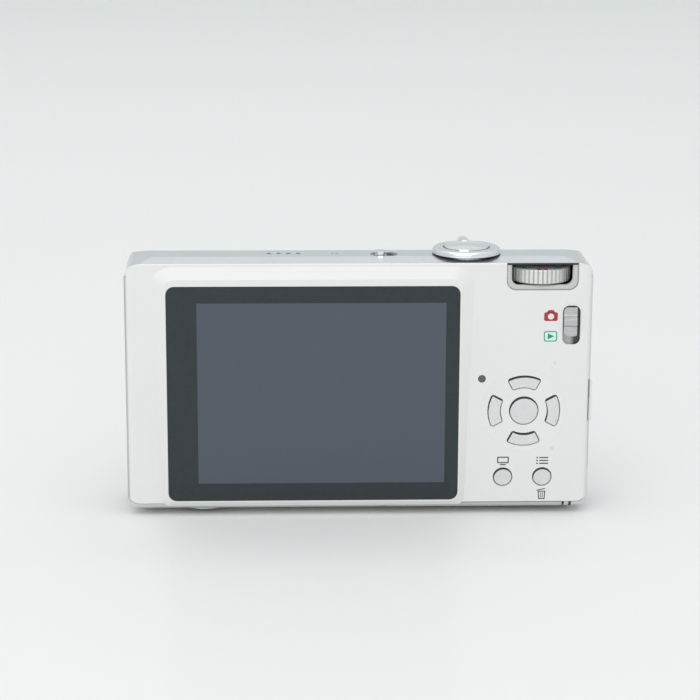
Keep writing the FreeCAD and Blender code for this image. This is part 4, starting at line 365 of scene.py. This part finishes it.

# ---- Slider: painted highlights and shade in lines across its thumb piece, and shadow at its right and upper edges
slider_silver = Finish("slider_silver", (0.56, 0.575, 0.575), 0.28, 0.6)
slider_silver.mottle(1.5 * MM, 0.06).grain(0.3 * MM, 0.006 * MM, (0.3, 1.0, 4.0))
# place below the top, half width, and tone
for down, wide, tone in ((1.75, 0.14, 0.86), (2.25, 0.06, 0.25), (2.65, 0.12, 0.80),
                         (4.0, 0.08, 0.10)):
    line = Vector((0, 0, slider_high.z - down * MM))
    slider_silver.tint(slider_silver.near(line, (0, 0, 1), wide * MM, 0.08 * MM),
                       (tone, tone, tone), 0.6)
streaks = slider_silver.noise(0.3 * MM, 3.0, (6.0, 1.0, 0.8))
slider_silver.tint(slider_silver.span(streaks, 0.0, 1.0), (0.36, 0.37, 0.37), 0.45)
right, top = slider_high.x, slider_high.z
slider_silver.tint(slider_silver.along("X", right - 0.5 * MM, right - 0.4 * MM), NEAR_BLACK, 0.95)
slider_silver.tint(slider_silver.along("Z", top - 0.15 * MM, top - 0.05 * MM),
                   (0.03, 0.032, 0.034), 0.9)
dress(slider_silver, "mode_slider")

# ---- Top controls
bright = Finish("polished_trim", (0.88, 0.90, 0.91), 0.09, 1.0)
bright.mottle(4 * MM, 0.05).smudge(3 * MM, 0.06)
dress(bright, "shutter_button", "strap_eyelet")

# the zoom ring has a dark foot of painted shade and a pale finger tab of painted light
ZOOM_RING_R = 6.95 * MM
plated = Finish("plated_ring", (0.81, 0.84, 0.855), 0.2, 1.0)
plated.tint(plated.both(plated.along("Z", top_z + 0.37 * MM, top_z + 0.3 * MM),
                        plated.along("Z", top_z - 0.1 * MM, top_z)),
            (0.02, 0.025, 0.03), 0.95)
tab_y = ring_centre.y + ZOOM_RING_R + 0.05 * MM
plated.tint(plated.along("Y", tab_y, tab_y + 0.1 * MM), (1.0, 1.0, 1.0))
plated.mottle(4 * MM, 0.05).smudge(3 * MM, 0.06)
dress(plated, "zoom_lever")

knob = Finish("power_knob_chrome", (0.80, 0.82, 0.825), 0.18, 1.0)
knob.mottle(1 * MM, 0.06).smudge(1 * MM, 0.08)
dress(knob, "power_knob")

# painted shade darkens the grooves between the dial's ridges, and painted light makes its top face
# paler
DIAL_R = 6.2 * MM
dial = Finish("turned_dial", (0.72, 0.73, 0.71), 0.34, 0.35)
dial_centre = centre("mode_dial")
depth = dial.span(dial.distance(dial_centre, ROUND_Z), 0.0, 1.0,
                  DIAL_R - 0.02 * MM, DIAL_R - 0.14 * MM)
dial.tint(dial.both(depth, dial.facing((0, 0, 1), 0.6, 0.3)), (0.16, 0.165, 0.16), 0.45)
dial.tint(dial.facing((0, 0, 1), 0.6, 0.9), (0.96, 0.96, 0.95))
dial.mottle(2 * MM, 0.05).smudge(2 * MM, 0.08)
dial.turned(dial_centre, ROUND_Z, 0.2 * MM, 0.001 * MM)
dress(dial, "mode_dial")

# ---- Lens
ring = Finish("spun_lens_ring", (0.62, 0.63, 0.65), 0.27, 1.0)
ring.mottle(8 * MM, 0.05).turned(LENS, ROUND_Y, 0.25 * MM, 0.003 * MM)
dress(ring, "lens_trim_ring")

barrel = Finish("turned_barrel", (0.60, 0.61, 0.62), 0.30, 0.9)
barrel.mottle(6 * MM, 0.05).grain(0.12 * MM, 0.003 * MM, (30.0, 1.0, 30.0))
dress(barrel, "cam_ring", "inner_barrel")

black = Finish("black_moulding", (0.022, 0.022, 0.024), 0.48)
black.mottle(5 * MM, 0.2).grain(0.15 * MM, 0.006 * MM)
dress(black, "front_cap", "lens_base", "fixed_barrel", "guide_ring", "battery_box",
      "speaker", "board_components", "door_release")

blade = Finish("matt_blade", (0.018, 0.018, 0.02), 0.6)
blade.mottle(2 * MM, 0.2).grain(0.1 * MM, 0.002 * MM)
dress(blade, "barrier_blade_upper", "barrier_blade_lower")

lens_glass = Finish("coated_lens", (0.10, 0.09, 0.16), 0.03)
lens_glass.set(Coat_Weight=1.0, Coat_Roughness=0.02, IOR=1.7)
# greener towards the rim, by a share for each metre
lens_glass.tint(lens_glass.distance(LENS, ROUND_Y), (0.02, 0.12, 0.10), 60.0)
lens_glass.smudge(4 * MM, 0.02)
dress(lens_glass, "front_lens", "rear_lens")

# ---- Doors
grey = Finish("silver_paint", (0.56, 0.58, 0.58), 0.36, 0.3)
grey.mottle(6 * MM, 0.04).grain(0.12 * MM, 0.004 * MM)
dress(grey, "battery_door")

# the lip of the terminal cover: pale with a painted highlight, with a dark line of painted shade
# in the gap beside it
LIP_W = 0.55 * MM
lip_x = door_high.x - LIP_W
cover_grey = Finish("silver_moulding", (0.60, 0.62, 0.63), 0.38, 0.4)
cover_grey.mottle(6 * MM, 0.05).grain(0.12 * MM, 0.005 * MM)
lip_gap_shade = cover_grey.both(cover_grey.along("X", lip_x, lip_x - 0.15 * MM),
                          cover_grey.facing((0, -1, 0), 0.3, 0.6))
cover_grey.tint(lip_gap_shade, DARK, 0.8)
cover_grey.tint(cover_grey.along("X", lip_x, lip_x + 0.1 * MM), (0.80, 0.81, 0.82))
dress(cover_grey, "terminal_door")

# ---- Inside
steel = Finish("stamped_steel", (0.52, 0.53, 0.53), 0.36, 1.0)
steel.mottle(6 * MM, 0.1).grain(0.1 * MM, 0.003 * MM, (12.0, 1.0, 1.0))
dress(steel, "chassis", "tripod_bush", "terminal_jack", "card_socket", "zoom_motor",
      "key_domes", "shutter_spring")

screw = Finish("zinc_screw", (0.42, 0.43, 0.44), 0.3, 1.0)
screw.mottle(1 * MM, 0.15).smudge(1 * MM, 0.1)
dress(screw, "case_screws", "door_hinge_pin")

brass = Finish("gold_contact", (0.78, 0.57, 0.24), 0.26, 1.0)
brass.mottle(1.5 * MM, 0.1).smudge(1 * MM, 0.1)
dress(brass, "battery_contacts", "motor_gear")

gear_white = Finish("gear_nylon", (0.78, 0.77, 0.72), 0.45)
gear_white.set(Subsurface_Weight=0.1)
gear_white.mottle(2 * MM, 0.04).grain(0.1 * MM, 0.002 * MM)
dress(gear_white, "long_gear", "idler_gear")

board = Finish("solder_mask", (0.012, 0.10, 0.045), 0.35)
board.mottle(2 * MM, 0.25).grain(0.3 * MM, 0.01 * MM, (6.0, 1.0, 1.0))
dress(board, "key_board", "main_board", "top_board")

panel = Finish("panel_frame", (0.03, 0.032, 0.035), 0.45)
panel.mottle(5 * MM, 0.2).grain(0.2 * MM, 0.004 * MM)
dress(panel, "screen_panel", "image_sensor")

battery = Finish("battery_sleeve", (0.10, 0.11, 0.13), 0.35)
battery.mottle(8 * MM, 0.15).smudge(5 * MM, 0.1)
dress(battery, "battery")

card = Finish("card_shell", (0.012, 0.02, 0.075), 0.4)
card.mottle(5 * MM, 0.2).grain(0.15 * MM, 0.004 * MM)
dress(card, "memory_card")

sleeve = Finish("capacitor_sleeve", (0.01, 0.01, 0.02), 0.25)
sleeve.mottle(4 * MM, 0.3).smudge(3 * MM, 0.1)
dress(sleeve, "flash_capacitor")

mirror = Finish("flash_mirror", (0.82, 0.83, 0.85), 0.12, 1.0)
mirror.mottle(2 * MM, 0.06).smudge(2 * MM, 0.06)
dress(mirror, "flash_unit")

# ---- Windows and lamps
window = Finish("flash_window", (0.78, 0.80, 0.80), 0.12)
window.set(Coat_Weight=0.5, Transmission_Weight=0.35, IOR=1.49)
RIB_SCALE = 900.0               # of the flash window's upright ribs, per metre
ribs = window.node("ShaderNodeTexWave", Scale=1.0)
ribs.bands_direction = "X"
scaled = window.node("ShaderNodeMapping", Scale=(RIB_SCALE, RIB_SCALE, RIB_SCALE))
window.link(window.where, scaled.inputs["Vector"])
window.link(scaled.outputs["Vector"], ribs.inputs["Vector"])
window.relief(ribs.outputs["Fac"], 0.03 * MM).mottle(3 * MM, 0.03)
dress(window, "flash_window")

amber = Finish("focus_lamp", (0.55, 0.22, 0.08), 0.10)
amber.set(Coat_Weight=0.8)
amber.mottle(1 * MM, 0.2).smudge(1 * MM, 0.05)
dress(amber, "focus_lamp_lens")

tinted = Finish("tinted_lamp", (0.075, 0.085, 0.08), 0.12)
tinted.set(Coat_Weight=0.6)
tinted.mottle(0.5 * MM, 0.2).smudge(0.5 * MM, 0.05)
dress(tinted, "status_lamp")


# ---------------------------------------------------------------- printed marks
INK_THICK = 0.008 * MM
INK_LIFT = 0.006 * MM           # from the printed face to the middle of the ink
INK_STEP = 0.004 * MM           # between inks that lie over one another


def ink(name, color):
    made = Finish(name, color, 0.45)
    made.mottle(0.4 * MM, 0.08).smudge(0.5 * MM, 0.08)
    return made


RED = ink("ink_red", (0.42, 0.025, 0.045))
GREEN = ink("ink_green", (0.03, 0.25, 0.19))
MINT = ink("ink_mint", (0.62, 0.88, 0.80))
GREY = ink("ink_grey", (0.045, 0.05, 0.052))


def disc(x, z, radius, count=28):
    """A round outline, as points in millimetres."""
    return [(x + radius * math.cos(2 * math.pi * k / count),
             z + radius * math.sin(2 * math.pi * k / count)) for k in range(count)]


def rounded(half_w, low, high, radius, steps=5):
    """A rectangle with rounded corners about x = 0, as points in millimetres."""
    points = []
    right, top, bottom = half_w - radius, high - radius, low + radius
    for x, z, start in ((right, top, 0), (-right, top, 90), (-right, bottom, 180),
                        (right, bottom, 270)):
        for k in range(steps + 1):
            turn = math.radians(start + 90 * k / steps)
            points.append((x + radius * math.cos(turn), z + radius * math.sin(turn)))
    return points


def stroke(x0, z0, x1, z1, width):
    """A straight line of some width, as a four-cornered outline."""
    along = Vector((x1 - x0, z1 - z0)).normalized()
    side = Vector((-along.y, along.x)) * width / 2
    return [(x0 - side.x, z0 - side.y), (x1 - side.x, z1 - side.y),
            (x1 + side.x, z1 + side.y), (x0 + side.x, z0 + side.y)]


def printed(name, outlines, place, finish, body="case"):
    """Flat ink from outlines in millimetres; an outline inside another one is a hole.

    place maps a point of the flat drawing, whose z is the ink's height, onto the part.
    """
    curve = bpy.data.curves.new(name, "CURVE")
    curve.dimensions = "2D"
    curve.fill_mode = "BOTH"
    curve.extrude = INK_THICK / MM / 2
    for points in outlines:
        spline = curve.splines.new("POLY")
        spline.points.add(len(points) - 1)
        for target, (u, v) in zip(spline.points, points):
            target.co = (u, v, 0.0, 1.0)
        spline.use_cyclic_u = True
    drawn = bpy.data.objects.new(name + "_drawn", curve)
    bpy.context.scene.collection.objects.link(drawn)
    bpy.context.view_layer.update()
    mesh = bpy.data.meshes.new_from_object(drawn)
    bpy.data.objects.remove(drawn)
    mesh.transform(place)
    mesh.materials.clear()
    mesh.materials.append(finish.material)
    piece = bpy.data.objects.new(name, mesh)
    bpy.context.scene.collection.objects.link(piece)
    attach(piece, body)


def on_rear(x, z, deeper=0.0):
    """Places a drawing in millimetres upright on the rear face at x and z, in metres."""
    y = REAR_Y + deeper - INK_LIFT
    return Matrix(((MM, 0, 0, x), (0, 0, MM, y), (0, MM, 0, z), (0, 0, 0, 1)))


# record and play, beside the slider
MARK_LEFT = 4.18 * MM           # of the middle of the slider
RECORD_DOWN = 1.9 * MM          # below the slider's top
PLAY_DOWN = 6.15 * MM
mark_x = slider_x - MARK_LEFT
at_record = on_rear(mark_x, slider_high.z - RECORD_DOWN)
camera_hump = [(-0.85, 0.66), (0.85, 0.66), (0.5, 1.18), (-0.5, 1.18)]
printed("mark_record", [rounded(1.38, -1.08, 0.72, 0.35), disc(0, -0.16, 0.62)], at_record, RED)
printed("mark_record_hump", [camera_hump], at_record, RED)
play_z = slider_high.z - PLAY_DOWN
play_field = rounded(1.14, -0.88, 0.88, 0.3)
play_arrow = [(-0.55, -0.6), (0.75, 0.0), (-0.55, 0.6)]
printed("mark_play_frame", [rounded(1.34, -1.08, 1.08, 0.45), play_field],
        on_rear(mark_x, play_z), GREEN)
printed("mark_play_fill", [play_field], on_rear(mark_x, play_z, INK_STEP), MINT)
printed("mark_play_arrow", [play_arrow], on_rear(mark_x, play_z, -INK_STEP), GREEN)

# a screen and a list, above the two small buttons
SIGN_UP = 3.45 * MM
SIGN_LINE = 0.24
display = centre("display_button")
quick = centre("quick_menu_button")
at_screen = on_rear(display.x, display.z + SIGN_UP)
at_list = on_rear(quick.x, display.z + SIGN_UP)
printed("mark_display", [rounded(1.2, -0.55, 0.85, 0.2), rounded(0.96, -0.31, 0.61, 0.08)],
        at_screen, GREY)
printed("mark_display_foot", [stroke(-0.6, -0.85, 0.6, -0.85, SIGN_LINE)], at_screen, GREY)
for row in (-0.62, 0.0, 0.62):
    printed("mark_list_%d" % round(10 * row + 10),
            [stroke(-0.6, row, 1.2, row, SIGN_LINE), disc(-1.05, row, 0.18, 12)], at_list, GREY)

# a bin, below the right one: rim, sides, foot, two ribs and a tilted lid
BIN_DOWN = 3.75 * MM
bin_lines = [stroke(-0.78, 0.62, 0.78, 0.62, 0.2), stroke(-0.68, 0.6, -0.56, -1.0, 0.2),
             stroke(0.68, 0.6, 0.56, -1.0, 0.2), stroke(-0.6, -0.96, 0.6, -0.96, 0.2),
             stroke(-0.2, 0.4, -0.2, -0.75, 0.15), stroke(0.2, 0.4, 0.2, -0.75, 0.15),
             stroke(-1.0, 0.84, 0.7, 1.2, 0.2)]
for number, line in enumerate(bin_lines):
    printed("mark_bin_%d" % number, [line], on_rear(quick.x, quick.z - BIN_DOWN), GREY)

# eight plain marks round the dial's top: filled, framed, and small rings between them
DIAL_MARKS = 8
DIAL_MARK_R = 4.9               # in millimetres, from the dial's axis
dial_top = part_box("mode_dial")[1].z + INK_LIFT
for number in range(DIAL_MARKS):
    turn = Matrix.Rotation(2 * math.pi * number / DIAL_MARKS, 4, "Z")
    place = (Matrix.Translation((dial_centre.x, dial_centre.y, dial_top)) @ turn
             @ Matrix.Diagonal((MM, MM, MM, 1.0)) @ Matrix.Translation((0, -DIAL_MARK_R, 0)))
    if number % 4 == 0:
        outlines, color = [rounded(1.1, -0.7, 0.7, 0.25), disc(0, 0, 0.42, 20)], RED
    elif number % 2 == 0:
        outlines, color = [rounded(0.9, -0.6, 0.6, 0.2), rounded(0.7, -0.4, 0.4, 0.1)], GREY
    else:
        outlines, color = [disc(0, 0, 0.55, 20), disc(0, 0, 0.3, 16)], GREY
    printed("dial_mark_%d" % number, outlines, place, color, "dial")


# ---------------------------------------------------------------- added forms
def band_round(name, center, radius, low, high, finish, body, wall=1.2 * MM, count=96):
    """A short pipe round an upright axis, closed above and below."""
    mesh = bpy.data.meshes.new(name)
    form = bmesh.new()
    rows = [[form.verts.new((center.x + r * math.cos(2 * math.pi * k / count),
                             center.y + r * math.sin(2 * math.pi * k / count), z))
             for k in range(count)]
            for r, z in ((radius, high), (radius, low), (radius - wall, low),
                         (radius - wall, high))]
    for outer, inner in zip(rows, rows[1:] + rows[:1]):
        for k in range(count):
            form.faces.new((outer[k], inner[k], inner[(k + 1) % count], outer[(k + 1) % count]))
    form.normal_update()
    for face in form.faces:
        face.smooth = abs(face.normal.z) < 0.5
    form.to_mesh(mesh)
    form.free()
    mesh.materials.append(finish.material)
    piece = bpy.data.objects.new(name, mesh)
    bpy.context.scene.collection.objects.link(piece)
    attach(piece, body)
    return piece


# a skirt under the zoom ring's rim, which narrows the gap to the top cover; its lower part is dark
# with the painted shade of the ring's foot
RING_GAP = 0.45 * MM            # between the ring of the solids and the cover
SKIRT_GAP = 0.2 * MM
OVERLAP = 0.01 * MM             # of the skirt with the ring
skirt = band_round("ring_skirt", ring_centre, ZOOM_RING_R - OVERLAP, top_z + SKIRT_GAP,
                   top_z + RING_GAP + OVERLAP, plated, "zoom_ring")

# the shutter button's spring, as a copy that goes with the zoom ring
coil = bpy.data.objects.new("return_spring", NODES["shutter_spring"].data.copy())
bpy.context.scene.collection.objects.link(coil)
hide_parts("shutter_spring")
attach(coil, "zoom_ring")
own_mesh(coil)

# ---------------------------------------------------------------- stage
FLOOR_DROP = 0.9 * MM           # the gap leaves a dark line under the camera


def stage_sheet(finish, half_width=3.0, front=-2.0, bend=1.2, radius=0.8, top=3.0):
    """A pale sweep, in metres: a floor that curves up into a backdrop."""
    mesh = bpy.data.meshes.new("studio_sweep")
    form = bmesh.new()
    profile = [(front, 0.0), (bend, 0.0)]
    profile += [(bend + radius * math.sin(t), radius - radius * math.cos(t))
                for t in (math.radians(9 * k) for k in range(1, 11))]
    profile.append((bend + radius, top))
    rows = [[form.verts.new((x, y, z)) for x in (-half_width, half_width)] for y, z in profile]
    for near, far in zip(rows, rows[1:]):
        form.faces.new((near[0], near[1], far[1], far[0]))
    form.to_mesh(mesh)
    form.free()
    for polygon in mesh.polygons:
        polygon.use_smooth = True
    mesh.materials.append(finish.material)
    sweep = bpy.data.objects.new("studio_sweep", mesh)
    sweep.location.z = -FLOOR_DROP
    bpy.context.scene.collection.objects.link(sweep)


paper = Finish("studio_paper", (0.81, 0.81, 0.80), 0.6)
paper.set(Coat_Weight=0.15, Coat_Roughness=0.1)
paper.mottle(0.4, 0.01)
# the backdrop is greyer above the horizon, where the top of the camera mirrors it
paper.tint(paper.along("Z", 0.12, 0.35), (0.72, 0.75, 0.76))
paper.tint(paper.along("Z", 0.62, 0.80), (0.92, 0.93, 0.94))
stage_sheet(paper)


def softbox(name, place, aim, width, height, power):
    """A rectangular light, in metres and watts."""
    light = bpy.data.lights.new(name, "AREA")
    light.shape = "RECTANGLE"
    light.size = width
    light.size_y = height
    light.energy = power
    lamp = bpy.data.objects.new(name, light)
    lamp.location = place
    lamp.rotation_euler = (Vector(aim) - Vector(place)).to_track_quat("-Z", "Y").to_euler()
    bpy.context.scene.collection.objects.link(lamp)


MIDDLE = (0.0, 0.0, 0.03)
softbox("overhead", (-0.1, -0.25, 0.8), MIDDLE, 1.0, 0.8, 2.2)
softbox("front_fill", (-0.25, -0.9, 0.45), MIDDLE, 0.9, 0.6, 2.0)
softbox("backdrop_light", (0.0, 0.5, 0.95), (0.0, 1.2, 0.15), 1.2, 0.3, 1.7)

world = bpy.data.worlds.new("studio")
world.use_nodes = True
sky = world.node_tree.nodes["Background"]
sky.inputs["Color"].default_value = (0.93, 0.96, 0.965, 1.0)
sky.inputs["Strength"].default_value = 0.84
bpy.context.scene.world = world
bpy.context.scene.view_settings.view_transform = "Standard"

# ---------------------------------------------------------------- camera
VIEW_PLACE = mm(-16.40, -449.4, 142.35)
VIEW_TILT = math.radians(13.88)         # downwards
VIEW_YAW = math.radians(1.90)           # to the right
VIEW_ROLL = math.radians(0.21)
view = bpy.data.cameras.new("view")
view.sensor_width = 36.0
view.lens = 115.7
view.clip_start = 0.01
viewer = bpy.data.objects.new("view", view)
viewer.matrix_world = (Matrix.Translation(VIEW_PLACE)
                       @ Matrix.Rotation(-VIEW_YAW, 4, "Z")
                       @ Matrix.Rotation(math.radians(90) - VIEW_TILT, 4, "X")
                       @ Matrix.Rotation(VIEW_ROLL, 4, "Z"))
bpy.context.scene.collection.objects.link(viewer)
bpy.context.scene.camera = viewer
